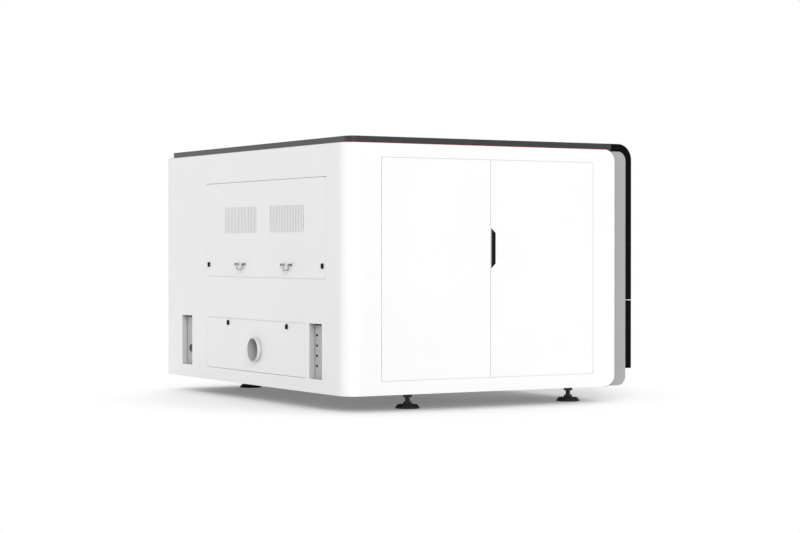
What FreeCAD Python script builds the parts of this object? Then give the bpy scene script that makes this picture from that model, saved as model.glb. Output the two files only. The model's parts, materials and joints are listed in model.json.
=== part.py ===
import FreeCAD, Part
import math
import os
from FreeCAD import Vector

# Enclosed fiber laser cutting machine, millimetres, +Z up, front towards -Y, operator's left -X.
# Places along the depth are given as s, the distance forward of the white rear face.
# Places across the rear are given as a, the distance from the left side face.

CUT = 1.0                # a cut runs this far past the piece
CLEAR = 0.3              # between moving or curved faces of separate pieces

# Overall form
BODY_W = 2830.0          # outside of one white side to outside of the other
BODY_D = 2236.0          # rear face to the front of the black fascia
BODY_H = 1596.0          # height of the white shell
FOOT_H = 110.0           # floor to the underside of the shell
ROOF_T = 44.0            # roof cap above the shell
ROOF_EDGE_R = 2.0
CORE_INSET = 40.0        # the roof and the front stand this far inside the white shell
SHEET = 3.0              # shell sheet
RETURN = 60.0            # width of the shell's folded returns
CORNER_R = 105.0         # rear upright corners of the shell
PANEL_R = 78.0           # front corners of the white side, seen from the side
SEAM_A = 160.0           # welded seam of side and rear shell, from the side face
REAR_PROUD = 36.0        # fume spigot behind the rear face
FRONT_PROUD = 42.0       # hood handle in front of the fascia
TRIM_H = 2.5             # red accent line round the shell's edges
TRIM_T = 8.0
TRIM_IN = 1.0            # accent line inside the shell's outer face

# Front: grey portal frame, black fascia, hood
FASCIA_T = 46.0          # depth of the black band
FASCIA_GAP = 2.0         # hood to portal frame
FRAME_D = 122.0          # depth of the grey portal frame
FRAME_TOP_CLEAR = 6.0    # portal frame below the hood's underside
FRAME_BOTTOM_R = 62.0
HOOD_R = 108.0           # curved top front edge
HOOD_SKIN = 4.0
HOOD_BOTTOM = 577.0      # hood's lower edge minus the seam, above the shell's underside
SEAM = 5.0               # open seam under the hood
FASCIA_BOTTOM = 115.0    # lower fascia's lower edge above the shell's underside
ROOF_SEAM = 4.0          # hood to roof cap
HOOD_PIN_R = 4.0
HOOD_PIN_BACK = 14.0     # hinge axis in front of the hood's rear edge
HOOD_PIN_DOWN = 9.0      # hinge axis below the hood's top
HOOD_PIN_WALL = 4.0      # roof ear beyond the end of the pin
HOOD_BOSS_D = 28.0
HOOD_BOSS_H = 24.0
EAR_L = 20.0             # roof ear that carries the hood's left pin
EAR_D = 36.0
EAR_GAP = 3.0            # roof ear to the hood
EAR_LAP = 10.0           # roof ear inside the cap
CONSOLE_X = 860.0        # left edge of the fixed console
CONSOLE_GAP = 4.0
CONSOLE_BOSS = 24.0
WINDOW_W = 1500.0
WINDOW_H = 560.0
WINDOW_Z = 1250.0
WINDOW_R = 40.0
WINDOW_RIM = 30.0        # stiffening rim round the window
RIM_T = 32.0
GLASS_T = 6.0
GLASS_LAP = 12.0
GLASS_PLAY = 0.5
HANDLE_L = 600.0
HANDLE_R = 7.0
POST_R = 6.0
POST_IN = 50.0           # handle posts from the ends of the bar
HANDLE_UP = 60.0         # handle above the hood's lower edge
OPEN_SIDE = 50.0         # loading opening from the console
OPEN_TOP = 80.0          # loading opening below the portal frame's top
OPEN_SHIFT = 30.0        # loading opening inside the chamber's left wall
OPEN_DROP = 8.0          # loading opening below the table frame
BAY = (40.0, 60.0, 60.0, 40.0)   # console bay inside its fascia: left, right, low, high

# Feet
FOOT_IN = 257.0          # foot centres from the white sides
FOOT_REAR = 592.0        # rear feet from the rear face
FOOT_FRONT = 372.0       # front feet from the fascia's face
PAD_R = 80.0
PAD_TOP_R = 64.0
PAD_EDGE = 7.0
PAD_H = 26.0
STUD_R = 15.0
STUD_SEAT = 8.0          # stud inside the pad
FLANGE_R = 29.5
FLANGE_T = 15.0
NUT_AF = 49.0
NUT_H = 17.0
FOOT_PLATE = 40.0        # half the width of the plate over a foot

# Hinged panels
GAP = 3.5                # between a door or cover and its opening
LEAF_T = 22.0            # folded door and cover depth
LEAF_SHEET = 2.0
REBATE_CLEAR = 6.0       # leaf to its stop lip
LIP = 15.0
RIB_H = 60.0             # stiffening channels inside the doors
RIB_T = 16.0
RIB_IN = 40.0            # channels from the leaf's upright edges
RIB_PLACES = (0.2, 0.8)  # share of the leaf's height
PIN_R = 5.0
RUN = 0.05               # running clearance on the radius
PIN_IN = 8.0             # hinge axis behind the outer face
PIN_EDGE = 12.0          # hinge axis inside the leaf's edge
PIN_REACH = 30.0         # pin inside the leaf
PIN_SEAT = 18.0          # pin inside the shell's lug
BOSS = 10.0              # half the width of a hinge boss
BOSS_END = 6.0           # boss beyond the pin's end
DOORS_S = 250.0          # side doors' opening, from the rear face
DOORS_W = 1640.0
DOORS_Z = 88.0
DOORS_H = 1421.0
PULL_W = 34.0            # trapezoidal pull on the front door
PULL_H = 264.0
PULL_SLANT = 32.0
PULL_Z = 711.0           # pull above the doors' lower edge
PULL_DEPTH = 19.0
PULL_IN = 3.0            # pull from the leaf's edge
PULL_WALL = 2.5
UPPER_X = -243.0         # middle of the upper rear cover, from the machine's middle
UPPER_W = 1800.0
UPPER_Z = 732.0
UPPER_H = 658.0
UPPER_R = 30.0
VENT_W = 500.0
VENT_H = 180.0
VENT_PITCH_A = 697.0     # between the two vents' centres
VENT_UP = 304.0          # vents above the cover's lower edge
SLOT_W = 6.5
SLOTS = 22
LOWER_X = -108.5         # middle of the lower rear cover
LOWER_W = 1519.0
LOWER_Z = 88.0
LOWER_H = 358.0
UPPER_LATCH_IN = 45.0    # latches from the cover's side edges
UPPER_LATCH_UP = 85.0
LOWER_LATCH_LEFT = 270.0  # latches from the cover's left and right edge
LOWER_LATCH_RIGHT = 355.0
LOWER_LATCH_UP = 326.0
LATCH_W = 24.0
LATCH_H = 34.0
LATCH_PLATE_R = 5.0
LATCH_BASE = 6.0         # base plate behind the cover's face
WING_HALF = 4.0
WING_OUT = 14.0
WING_R = 3.0
WING_SHORT = 2.0         # wing inside the base plate's ends
LATCH_SHAFT_R = 7.0
LATCH_PAST = 6.0         # shaft beyond the leaf
TONGUE_L = 24.0
TONGUE_HALF = 8.0
TONGUE_T = 3.0
TONGUE_GAP = 1.0         # tongue behind the leaf
SPIGOT_R = 80.0
SPIGOT_BORE_R = 75.0
SPIGOT_NECK_R = 78.0     # sleeve that passes through the cover
SLEEVE_GAP = 4.0         # sleeve to the duct behind it
SPIGOT_SHIFT = 43.0      # spigot to the left of the lower cover's middle
SPIGOT_UP = 156.0
SPIGOT_FLANGE = 15.0     # flange inside the cover, beyond the ring
SPIGOT_FLANGE_T = 3.0
BAIL_W = 78.0            # between the bail's legs
BAIL_SHIFT = 18.0        # bails to the left of the vents' middles
BAIL_DROP = 36.0
BAIL_R = 5.0
BAIL_BEND = 15.0
BAIL_TURN = 8.0          # bend into the bracket
BAIL_END = 12.0          # end inside the bracket, from the leg
BAIL_OUT = 18.0          # bail's pivot from the cover
BAIL_UP = 90.0
BRACKET_W = 16.0
BRACKET_H = 16.0
BRACKET_PROUD = 27.0
BRACKET_R = 4.0
BRACKET_GAP = 1.0        # bracket to the bail's bend
RECESS_A = 329.0         # tall recesses, from the nearer side face
RECESS_W = 178.0
RECESS_Z = 88.0
RECESS_H = 358.0
RECESS_D = 42.0
RECESS_LAP = 10.0        # tray flange behind the sheet
TRAY_T = 2.0
TRAY_TOP_SLIT = 13.0     # open slits between a tray's back and its top and right walls
TRAY_SIDE_SLIT = 7.0
GLANDS = 4
GLAND_R = 4.5
GLAND_WALL = 1.0         # bushing's wall through the tray
GLAND_RIM = 2.0
GLAND_RIM_T = 8.0
GLAND_PITCH = 66.0
GLAND_UP = 83.0
GLAND_A = 140.0
INLET_R = 27.0
INLET_WALL = 6.0
INLET_NECK = 4.0         # inlet's neck inside its rim
INLET_OUT = 16.0
INLET_FLOOR = 4.0
INLET_UP = 119.0
INLET_A = 58.0

# Frame, bed and table
TUBE = 80.0              # base frame tube
BASE_IN = 46.0
CHAMBER_W = 1920.0       # between the side partitions
CHAMBER_D = 1220.0       # rear partition to portal frame
WALL_TOP = 20.0          # partitions below the shell's top
DUCT_W = 300.0
DUCT_H = 200.0
TABLE_W = 1300.0
TABLE_D = 900.0
TABLE_Z = 800.0          # slat tips above the floor
TABLE_SEAT = 10.0        # slats above the table frame's underside
TABLE_RIM = 20.0         # table frame below the slat tips
SLAT_H = 76.0
SLAT_T = 3.0
SLATS = 20
SLAT_PLAY = 0.5          # slat to the frame and to the sides of its notch
COMB_T = 8.0             # notched bars that carry the slats
COMB_H = 30.0            # notches' depth
TOOTH_PITCH = 45.0
TOOTH_H = 14.0
TABLE_BAR = 20.0         # table frame's side bars
TABLE_FRONT = 108.0      # table's front edge behind the portal frame's face
TABLE_TIE = 60.0         # cross tubes under the table
TIE_IN = 40.0            # cross tubes from the table's ends
BEAM_W = 100.0           # machine bed's side beams
BEAM_H = 185.0
BEAM_UP = 40.0           # beams' top above the slat tips
BED_END = 10.0           # beams from the portal frame
LEG_IN = 40.0            # legs from the beams' ends
RAIL_X = 800.0
RAIL_W = 34.0
RAIL_H = 28.0
RAIL_END = 5.0
BLOCK_L = 70.0
BLOCK_T = 20.0
BLOCK_CHEEK = 16.0

# Gantry, carriage and head
GANTRY_H = 180.0
GANTRY_T = 160.0
GANTRY_WALL = 10.0
GANTRY_END = 60.0        # beam beyond the rails' middle
GANTRY_UP = 140.0        # gantry beam above the bed
GANTRY_HOLES = 9
GANTRY_HOLE_R = 36.0
TRUCK_D = 190.0
TRUCK_HALF = 55.0
TRUCK_GAP = 6.0          # truck from the end of the beams
BLOCK_IN = 40.0          # blocks' middle from the truck's ends
X_RAIL_IN = 40.0
X_RAIL_EDGE = 35.0
X_BLOCK_AT = 75.0
CARRIAGE_HALF = 125.0
CARRIAGE_T = 16.0
CARRIAGE_OVER = 10.0
GUIDE_HALF = 65.0
GUIDE_T = 28.0
GUIDE_DOWN = 40.0
GUIDE_UP = 130.0
SHELF_HALF = 45.0
SHELF_D = 80.0
SHELF_T = 12.0
MOTOR = 70.0             # motor flange
MOTOR_L = 108.0
MOTOR_R = 6.0
ENCODER_R = 28.0
ENCODER_L = 40.0
HEAD_FRONT = 144.0       # cutting head's axis in front of the gantry beam
HEAD_R = 42.0
HEAD_NECK_R = 23.0
HEAD_GROOVE = 3.0
HEAD_TOP = 220.0         # head's top above the gantry beam's underside
HEAD_SHOULDER_R = 34.0
FIBRE_R = 21.0           # fibre connector
FIBRE_L = 60.0
COLLAR_L = 22.0
NECK_L = 60.0
CASSETTE = (60.0, 16.0, 34.0)    # lens cassette: width, reach from the head, height
CASSETTE_UP = 32.0       # cassette above the neck
BARB_R = 6.0
BARB_L = 18.0
BARB_DOWN = 24.0         # hose barbs below the head's top
SLIDE_HALF = 55.0
SLIDE_T = 12.0
SLIDE_H = 210.0
ARM_HALF = 30.0
ARM_UP = 100.0           # arm above the slide's foot
ARM_H = 70.0
NOZZLE_CLEAR = 125.0     # nozzle above the slats at the top of its travel
NOZZLE_R = 14.0
NOZZLE_TIP_R = 3.5
NOZZLE_CONE = 18.0
NOZZLE_L = 28.0
NOZZLE_BORE_R = 1.0

# Drawer, cabinet and rear compartment
DRAWER_W = 1180.0
DRAWER_D = 820.0
DRAWER_Z = 250.0
DRAWER_H = 210.0
DRAWER_RIM = 30.0        # tray's walls below the drawer front's top
DRAWER_SIDE = 12.0       # drawer to its opening
DRAWER_EDGE = 8.0
GRIP_HALF = 150.0        # grip cut into the drawer front's top edge
GRIP_H = 40.0
GRIP_D = 24.0
GRIP_LIP = 14.0
GRIP_BACK = 34.0
GRIP_FRONT = 10.0
DRAWER_PLAY = 0.5        # drawer to its runners
RUNNER_W = 10.0
RUNNER_UP = 40.0
RUNNER_IN = 25.0
RUNNER_T = 6.0
RUNNER_BASE = 40.0
CABINET_GAP = 12.0
RACK_BAR = 30.0
RACK_REAR = 60.0         # rack from the doors' rear and front edge
RACK_FRONT = 80.0
RACK_BACK = 8.0          # mounting plate from the rack's inner face
SHELF_UP = 40.0
SHELF_ROOM = 180.0       # above the laser source
SOURCE = (330.0, 650.0, 300.0)   # width, depth, height
SOURCE_R = 6.0
SOURCE_IN = 20.0
SOURCE_FRONT = 60.0
SOURCE_GRIP_R = 6.0
SOURCE_GRIP_OUT = 30.0
SOURCE_GRIP_IN = 40.0
SOURCE_GRIP_UP = 80.0
SOURCE_POST_R = 5.0
DRIVE = (170.0, 95.0, 260.0)     # depth, width, height
DRIVES = 4
DRIVE_GAP = 45.0
DRIVE_REAR = 120.0
DRIVE_UP = 220.0
FINS = 5
FIN_W = 6.0
FIN_PITCH = 14.0
FIN_IN = 12.0
FIN_END = 20.0
CHILLER_W = 1220.0
CHILLER_D = 340.0
CHILLER_Z = 900.0
CHILLER_H = 520.0
CHILLER_R = 8.0
CHILLER_BACK = 90.0
CHILLER_LEG = 40.0
CHILLER_LEG_IN = 10.0
CHILLER_REAR_LEG = 36.0
CHILLER_BAR_UP = 100.0
CHILLER_BAR = 30.0
FAN_R = 104.0
FAN_WELL = 8.0           # well beyond the blades
FAN_DEPTH = 70.0
FAN_BLADES = 7
FAN_PITCH = 55.0
FAN_CHORD = 10.0         # half the blade's width
FAN_BLADE_T = 3.0
FAN_HUB_R = 32.0
FAN_HUB_L = 24.0
FAN_IN = 14.0            # hub from the well's mouth
FAN_MOTOR_R = 30.0
FAN_MOTOR_IN = 40.0
FAN_SHAFT_IN = 12.0
FAN_SHAFT_R = 5.0

# Console
SCREEN_W = 380.0
SCREEN_H = 300.0
SCREEN_Z = 1160.0
SCREEN_R = 8.0
SCREEN_BOX = 10.0        # display housing beyond the glass
SCREEN_T = 34.0
BUTTON_R = 12.0
BUTTON_Z = 1040.0
BUTTON_PITCH = 110.0
BUTTON_OUT = 5.0
BUTTON_BACK = 20.0
COLLAR_R = 3.0           # button's collar beyond its cap
COLLAR_BACK = 9.0
ESTOP_R = 20.0
ESTOP_STEM_R = 10.0
ESTOP_EDGE = 5.0
ESTOP_OUT = 30.0
ESTOP_UNDER = 14.0
ESTOP_BACK = 22.0

# Worked out from the sizes above
HALF_W = BODY_W / 2
REAR_Y = (BODY_D + FRONT_PROUD - REAR_PROUD) / 2
FRONT_Y = REAR_Y - BODY_D
Z0 = FOOT_H
Z1 = Z0 + BODY_H
TOP = Z1 + ROOF_T
CORE_X = HALF_W - CORE_INSET
REBATE = LEAF_T + REBATE_CLEAR
FRAME_S1 = BODY_D - FASCIA_T - FASCIA_GAP
PANEL_S = FRAME_S1 - FRAME_D
FRAME_TOP = TOP - FASCIA_T - FRAME_TOP_CLEAR
FRAME_TOP_R = HOOD_R - FASCIA_T
ROOF_S = PANEL_S - EAR_D
HOOD_S = ROOF_S + ROOF_SEAM
HOOD_Z = Z0 + HOOD_BOTTOM + SEAM
HOOD_PIN_S = HOOD_S + HOOD_PIN_BACK
HOOD_PIN_Z = TOP - HOOD_PIN_DOWN
CHAMBER_S = PANEL_S - CHAMBER_D
FLOOR_Z = Z0 + SHEET + TUBE
SLAT_Z0 = TABLE_Z - SLAT_H
TABLE_UNDER = SLAT_Z0 - TABLE_SEAT
OPEN_X0 = OPEN_SHIFT - CHAMBER_W / 2
OPEN_X1 = CONSOLE_X - OPEN_SIDE
OPEN_Z0 = TABLE_UNDER - OPEN_DROP
OPEN_Z1 = FRAME_TOP - OPEN_TOP
TABLE_S1 = FRAME_S1 - TABLE_FRONT
TABLE_S0 = TABLE_S1 - TABLE_D
BED_Z1 = TABLE_Z + BEAM_UP
BED_Z0 = BED_Z1 - BEAM_H
GANTRY_S1 = TABLE_S0 - HEAD_FRONT
GANTRY_S0 = GANTRY_S1 - GANTRY_T
GANTRY_MID = (GANTRY_S0 + GANTRY_S1) / 2
GANTRY_Z0 = BED_Z1 + GANTRY_UP
GANTRY_Z1 = GANTRY_Z0 + GANTRY_H
BED_S0 = GANTRY_MID - TRUCK_D / 2 - TRUCK_GAP
BED_S1 = PANEL_S - BED_END
UPPER_A = HALF_W + UPPER_X - UPPER_W / 2
LOWER_A = HALF_W + LOWER_X - LOWER_W / 2
SPIGOT_X = LOWER_X - SPIGOT_SHIFT
SPIGOT_Z = Z0 + LOWER_Z + SPIGOT_UP
VENT_Z = Z0 + UPPER_Z + VENT_UP
VENT_A = [HALF_W + UPPER_X + side * VENT_PITCH_A / 2 for side in (-1, 1)]


def depth(s):
    """Y of a place s in front of the rear face."""
    return REAR_Y - s


def at(face, u, z, d=0.0):
    """Point on a face of the machine, d behind it. u is s on the left, a on the rear, X in front."""
    if face == "left":
        return Vector(-HALF_W + d, depth(u), z)
    if face == "rear":
        return Vector(-HALF_W + u, REAR_Y - d, z)
    return Vector(u, FRONT_Y + d, z)


def box(x0, x1, y0, y1, z0, z1):
    """Block between two values on each axis."""
    corner = Vector(min(x0, x1), min(y0, y1), min(z0, z1))
    return Part.makeBox(abs(x1 - x0), abs(y1 - y0), abs(z1 - z0), corner)


def beam(x0, x1, s0, s1, z0, z1):
    """Block between two values on each axis, with its depth given as places s."""
    return box(x0, x1, depth(s0), depth(s1), z0, z1)


def rod(start, end, radius):
    """Round bar from one point to another."""
    return Part.makeCylinder(radius, (end - start).Length, start, end - start)


def peg(face, u, z, d0, d1, radius):
    """Round bar square to a face of the machine, between two depths behind it."""
    return rod(at(face, u, z, d0), at(face, u, z, d1), radius)


def rounded_wire(points, radii):
    """Closed wire through the points, each corner rounded to its radius."""
    starts, ends, mids = [], [], []
    count = len(points)
    for i, corner in enumerate(points):
        back = (points[i - 1] - corner).normalize()
        ahead = (points[(i + 1) % count] - corner).normalize()
        half = back.getAngle(ahead) / 2
        reach = radii[i] / math.tan(half)
        starts.append(corner + back * reach)
        ends.append(corner + ahead * reach)
        middle = (back + ahead).normalize()
        mids.append(corner + middle * (radii[i] / math.sin(half) - radii[i]))
    edges = []
    for i in range(count):
        if radii[i] > 0:
            edges.append(Part.Arc(starts[i], mids[i], ends[i]).toShape())
        after = starts[(i + 1) % count]
        if (after - ends[i]).Length > 1e-6:
            edges.append(Part.LineSegment(ends[i], after).toShape())
    return Part.Wire(edges)


def prism(points, radii, travel):
    """Solid swept from a rounded outline along a vector."""
    return Part.Face(rounded_wire(points, radii)).extrude(travel)


def plate(face, u0, u1, z0, z1, d0, d1, radii=(0, 0, 0, 0)):
    """Slab in a face of the machine. Radii run lower left, lower right, upper right, upper left."""
    points = [at(face, u0, z0, d0), at(face, u1, z0, d0), at(face, u1, z1, d0), at(face, u0, z1, d0)]
    return prism(points, radii, at(face, 0, 0, d1) - at(face, 0, 0, d0))


def section(places, radii, x0, x1):
    """Solid with a side outline given as (s, z) places, from x0 to x1."""
    points = [Vector(x0, depth(s), z) for s, z in places]
    return prism(points, radii, Vector(x1 - x0, 0, 0))


def turned(x, y, z, profile):
    """Solid turned about an upright axis from a profile of (radius, height) places."""
    outline = Part.makePolygon([Vector(x + r, y, z + h) for r, h in profile + profile[:1]])
    return Part.Face(outline).revolve(Vector(x, y, z), Vector(0, 0, 1), 360)


def write(name, *shapes):
    """Saves the solids of one sub-part."""
    solids = [solid for shape in shapes for solid in shape.Solids]
    shape = solids[0] if len(solids) == 1 else Part.makeCompound(solids)
    shape.exportStep(f"parts/{name}.step")


def tidy(shape):
    """Joins faces that lie in one surface."""
    return shape.removeSplitter()


def upright_edges(shape, length):
    """Upright edges of a block of the given height."""
    return [edge for edge in shape.Edges if edge.BoundBox.ZLength > length - CUT]


# White shell

def plan_block(inset, z0, z1, front):
    """Upright block with the shell's plan: square in front, rounded at the rear corners."""
    x = HALF_W - inset
    points = [Vector(-x, depth(front), z0), Vector(x, depth(front), z0),
              Vector(x, depth(inset), z0), Vector(-x, depth(inset), z0)]
    radius = CORNER_R - inset
    return prism(points, (0, 0, radius, radius), Vector(0, 0, z1 - z0))


def side_block(grow):
    """Block with the white side's outline, rounded at the front corners, grown outwards."""
    front, low, high = PANEL_S + grow, Z0 - grow, Z1 + grow
    places = [(-RETURN, low), (front, low), (front, high), (-RETURN, high)]
    return section(places, (0, PANEL_R + grow, PANEL_R + grow, 0), -HALF_W - CUT, HALF_W + CUT)


def full_shell():
    """Left side, rear and right side as one thin shell with folded returns."""
    outer = plan_block(0, Z0, Z1, BODY_D).common(side_block(0))
    hollow = plan_block(SHEET, Z0, Z1, BODY_D).common(side_block(-SHEET))
    core = plan_block(RETURN, Z0 - CUT, Z1 + CUT, BODY_D + CUT)
    return outer.cut(hollow).cut(core)


def framed_opening(shell, face, u0, u1, z0, z1, radii):
    """Cuts an opening with a folded rebate and a stop lip behind the panel that closes it."""
    grown = [r + SHEET if r else 0 for r in radii]
    back = REBATE + SHEET
    wall = plate(face, u0 - SHEET, u1 + SHEET, z0 - SHEET, z1 + SHEET, 0, back, grown)
    mouth = plate(face, u0, u1, z0, z1, -CUT, REBATE, radii)
    throat = plate(face, u0 + LIP, u1 - LIP, z0 + LIP, z1 - LIP, -CUT, back + CUT)
    return shell.fuse(wall).cut(mouth).cut(throat)


REAR_HINGES = {
    "upper_cover": (Z0 + UPPER_Z + UPPER_H - GAP - PIN_EDGE, UPPER_A + GAP, UPPER_A + UPPER_W - GAP),
    "lower_cover": (Z0 + LOWER_Z + GAP + PIN_EDGE, LOWER_A + GAP, LOWER_A + LOWER_W - GAP),
}
DOOR_HINGES = {
    "door_rear_leaf": DOORS_S + GAP + PIN_EDGE,
    "door_front_leaf": DOORS_S + DOORS_W - GAP - PIN_EDGE,
}
DOOR_Z0 = Z0 + DOORS_Z + GAP
DOOR_Z1 = Z0 + DOORS_Z + DOORS_H - GAP


def hinge_ends(name):
    """The two ends of a leaf's hinge axis, each as a start point and the way out of the leaf."""
    if name in DOOR_HINGES:
        ends = [at("left", DOOR_HINGES[name], z, PIN_IN) for z in (DOOR_Z0, DOOR_Z1)]
    else:
        z, low, high = REAR_HINGES[name]
        ends = [at("rear", a, z, PIN_IN) for a in (low, high)]
    out = (ends[1] - ends[0]).normalize()
    return [(ends[0], out * -1), (ends[1], out)]


def hinge_pin(end, out):
    """Pin that stands in the shell's lug and runs in the leaf."""
    return rod(end - out * PIN_REACH, end + out * (GAP + PIN_SEAT), PIN_R)


def hinge_block(name, start, stop):
    """Block round a hinge axis between two points, from just inside the outer face."""
    if name in DOOR_HINGES:
        return box(-HALF_W + CUT, -HALF_W + PIN_IN + BOSS, start.y - BOSS, start.y + BOSS, start.z, stop.z)
    return box(start.x, stop.x, REAR_Y - CUT, REAR_Y - PIN_IN - BOSS, start.z - BOSS, start.z + BOSS)


def add_lugs(shell, names):
    """Fuses the lugs of the named panels to the shell, each bored for its pin."""
    for name in names:
        for end, out in hinge_ends(name):
            start, stop = end + out * GAP, end + out * (GAP + PIN_SEAT)
            shell = shell.fuse(hinge_block(name, start, stop)).cut(rod(start - out, stop + out, PIN_R))
    return shell


def side_shells(ring_shell):
    """The two white sides, each wrapping its rear corner. The left one has the door opening."""
    halves = []
    for side in (-1, 1):
        keep = box(side * (HALF_W + CUT), side * (HALF_W - SEAM_A), FRONT_Y, REAR_Y + CUT, 0, TOP)
        halves.append(ring_shell.common(keep))
    left = framed_opening(halves[0], "left", DOORS_S, DOORS_S + DOORS_W, Z0 + DOORS_Z,
                          Z0 + DOORS_Z + DOORS_H, (0, 0, 0, 0))
    write("left_side_shell", tidy(add_lugs(left, DOOR_HINGES)))
    write("right_side_shell", tidy(halves[1]))


def rear_shell(ring_shell):
    """White rear sheet with two covered openings and two recess openings."""
    x = HALF_W - SEAM_A
    shell = ring_shell.common(box(-x, x, REAR_Y - RETURN - CUT, REAR_Y + CUT, 0, TOP))
    upper = (UPPER_A, UPPER_A + UPPER_W, Z0 + UPPER_Z, Z0 + UPPER_Z + UPPER_H)
    lower = (LOWER_A, LOWER_A + LOWER_W, Z0 + LOWER_Z, Z0 + LOWER_Z + LOWER_H)
    shell = framed_opening(shell, "rear", *upper, (UPPER_R, UPPER_R, 0, 0))
    shell = framed_opening(shell, "rear", *lower, (0, 0, 0, 0))
    shell = add_lugs(shell, REAR_HINGES)
    for a0 in recess_places():
        hole = plate("rear", a0, a0 + RECESS_W, Z0 + RECESS_Z, Z0 + RECESS_Z + RECESS_H, -CUT, SHEET + CUT)
        shell = shell.cut(hole)
    write("rear_shell", tidy(shell))


def accent_trim():
    """Red line that follows the shell's top edge and the front edges of the white sides."""
    band = side_block(TRIM_H).cut(side_block(0))
    outer = plan_block(TRIM_IN, Z0, Z1 + TRIM_H, BODY_D)
    inner = plan_block(TRIM_IN + TRIM_T, Z0 - CUT, Z1 + TRIM_H + CUT, BODY_D + CUT)
    trim = band.common(outer.cut(inner))
    write("accent_trim", trim.common(box(-HALF_W, HALF_W, FRONT_Y, REAR_Y, Z0 + PANEL_R / 2, TOP)))


def plan_roof(inset, z0, z1):
    """Upright block with the roof's plan."""
    return plan_block(CORE_INSET + inset, z0, z1, ROOF_S - inset)


def hood_pin(x0, x1, radius):
    """Bar on the hood's hinge axis."""
    y = depth(HOOD_PIN_S)
    return rod(Vector(x0, y, HOOD_PIN_Z), Vector(x1, y, HOOD_PIN_Z), radius)


def roof_cap():
    """Dark roof cap, a pan with softened edges and an ear for the hood's left pin."""
    outer = plan_roof(0, Z1, TOP)
    top_edges = [edge for edge in outer.Edges if edge.BoundBox.ZMin > TOP - CUT / 2]
    cap = outer.makeFillet(ROOF_EDGE_R, top_edges).cut(plan_roof(SHEET, Z1 - CUT, TOP - SHEET))
    ear = beam(-CORE_X, -CORE_X + EAR_L, PANEL_S, ROOF_S - EAR_LAP, Z1, TOP)
    cap = cap.fuse(ear).cut(hood_pin(-CORE_X + HOOD_PIN_WALL, -CORE_X + EAR_L + CUT, HOOD_PIN_R))
    write("roof_cap", tidy(cap))


# Rear recesses

def recess_places():
    """Near edge of each tall recess, from the left side face."""
    return (RECESS_A, BODY_W - RECESS_A - RECESS_W)


def recess_tray(a0):
    """Folded tray behind a recess opening."""
    z0, z1, a1 = Z0 + RECESS_Z, Z0 + RECESS_Z + RECESS_H, a0 + RECESS_W
    lap, t = RECESS_LAP, TRAY_T
    flange = plate("rear", a0 - lap, a1 + lap, z0 - lap, z1 + lap, SHEET, SHEET + t)
    walls = plate("rear", a0 - t, a1 + t, z0 - t, z1 + t, SHEET, RECESS_D + t)
    back = plate("rear", a0, a1 - TRAY_SIDE_SLIT, z0, z1 - TRAY_TOP_SLIT, RECESS_D, RECESS_D + t)
    return flange.fuse(walls).cut(plate("rear", a0, a1, z0, z1, -CUT, RECESS_D + t + CUT)).fuse(back)


def cable_recess():
    """Left recess with a column of cable bushings."""
    a0 = recess_places()[0]
    tray = recess_tray(a0)
    a = a0 + GLAND_A
    floor, back = RECESS_D, RECESS_D + TRAY_T
    front = RECESS_D - GLAND_RIM_T
    bushings = []
    for i in range(GLANDS):
        z = Z0 + RECESS_Z + GLAND_UP + i * GLAND_PITCH
        tray = tray.cut(peg("rear", a, z, front, back + CUT, GLAND_R + GLAND_WALL))
        collar = peg("rear", a, z, front, floor, GLAND_R + GLAND_RIM)
        collar = collar.fuse(peg("rear", a, z, floor, back, GLAND_R + GLAND_WALL))
        bushings.append(collar.cut(peg("rear", a, z, front - CUT, back + CUT, GLAND_R)))
    write("cable_recess", tidy(tray))
    write("cable_bushings", *bushings)


def inlet_recess():
    """Right recess with the round supply inlet."""
    a0 = recess_places()[1]
    a, z = a0 + INLET_A + INLET_R, Z0 + RECESS_Z + INLET_UP
    neck = INLET_R - INLET_NECK
    tray = recess_tray(a0).cut(peg("rear", a, z, RECESS_D - CUT, RECESS_D + TRAY_T + CUT, neck))
    socket = peg("rear", a, z, RECESS_D - INLET_OUT, RECESS_D, INLET_R)
    socket = socket.fuse(peg("rear", a, z, RECESS_D, RECESS_D + TRAY_T, neck))
    mouth = peg("rear", a, z, RECESS_D - INLET_OUT - CUT, RECESS_D - INLET_FLOOR, INLET_R - INLET_WALL)
    write("inlet_recess", tidy(tray))
    write("power_inlet", tidy(socket.cut(mouth)))


# Hinged leaves

def leaf(face, u0, u1, z0, z1, radii=(0, 0, 0, 0)):
    """Folded pan that closes an opening."""
    k = LEAF_SHEET
    inner = [max(r - k, 0) for r in radii]
    body = plate(face, u0, u1, z0, z1, 0, LEAF_T, radii)
    return body.cut(plate(face, u0 + k, u1 - k, z0 + k, z1 - k, k, LEAF_T + CUT, inner))


def add_bosses(panel, name):
    """Fuses bored bosses for the hinge pins into a leaf's corners."""
    for end, out in hinge_ends(name):
        boss = hinge_block(name, end, end - out * (PIN_REACH + BOSS_END))
        bore = rod(end - out * (PIN_REACH + CUT), end + out, PIN_R + RUN)
        panel = panel.fuse(boss).cut(bore)
    return panel


def add_ribs(panel, u0, u1):
    """Fuses level stiffening channels, open at their ends, inside a door."""
    k = LEAF_SHEET
    for share in RIB_PLACES:
        z = DOOR_Z0 + share * (DOOR_Z1 - DOOR_Z0)
        z0, z1 = z - RIB_H / 2, z + RIB_H / 2
        channel = plate("left", u0 + RIB_IN, u1 - RIB_IN, z0, z1, k / 2, k + RIB_T)
        hollow = plate("left", u0 + RIB_IN - CUT, u1 - RIB_IN + CUT, z0 + k, z1 - k, k, RIB_T)
        panel = panel.fuse(channel).cut(hollow)
    return panel


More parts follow.
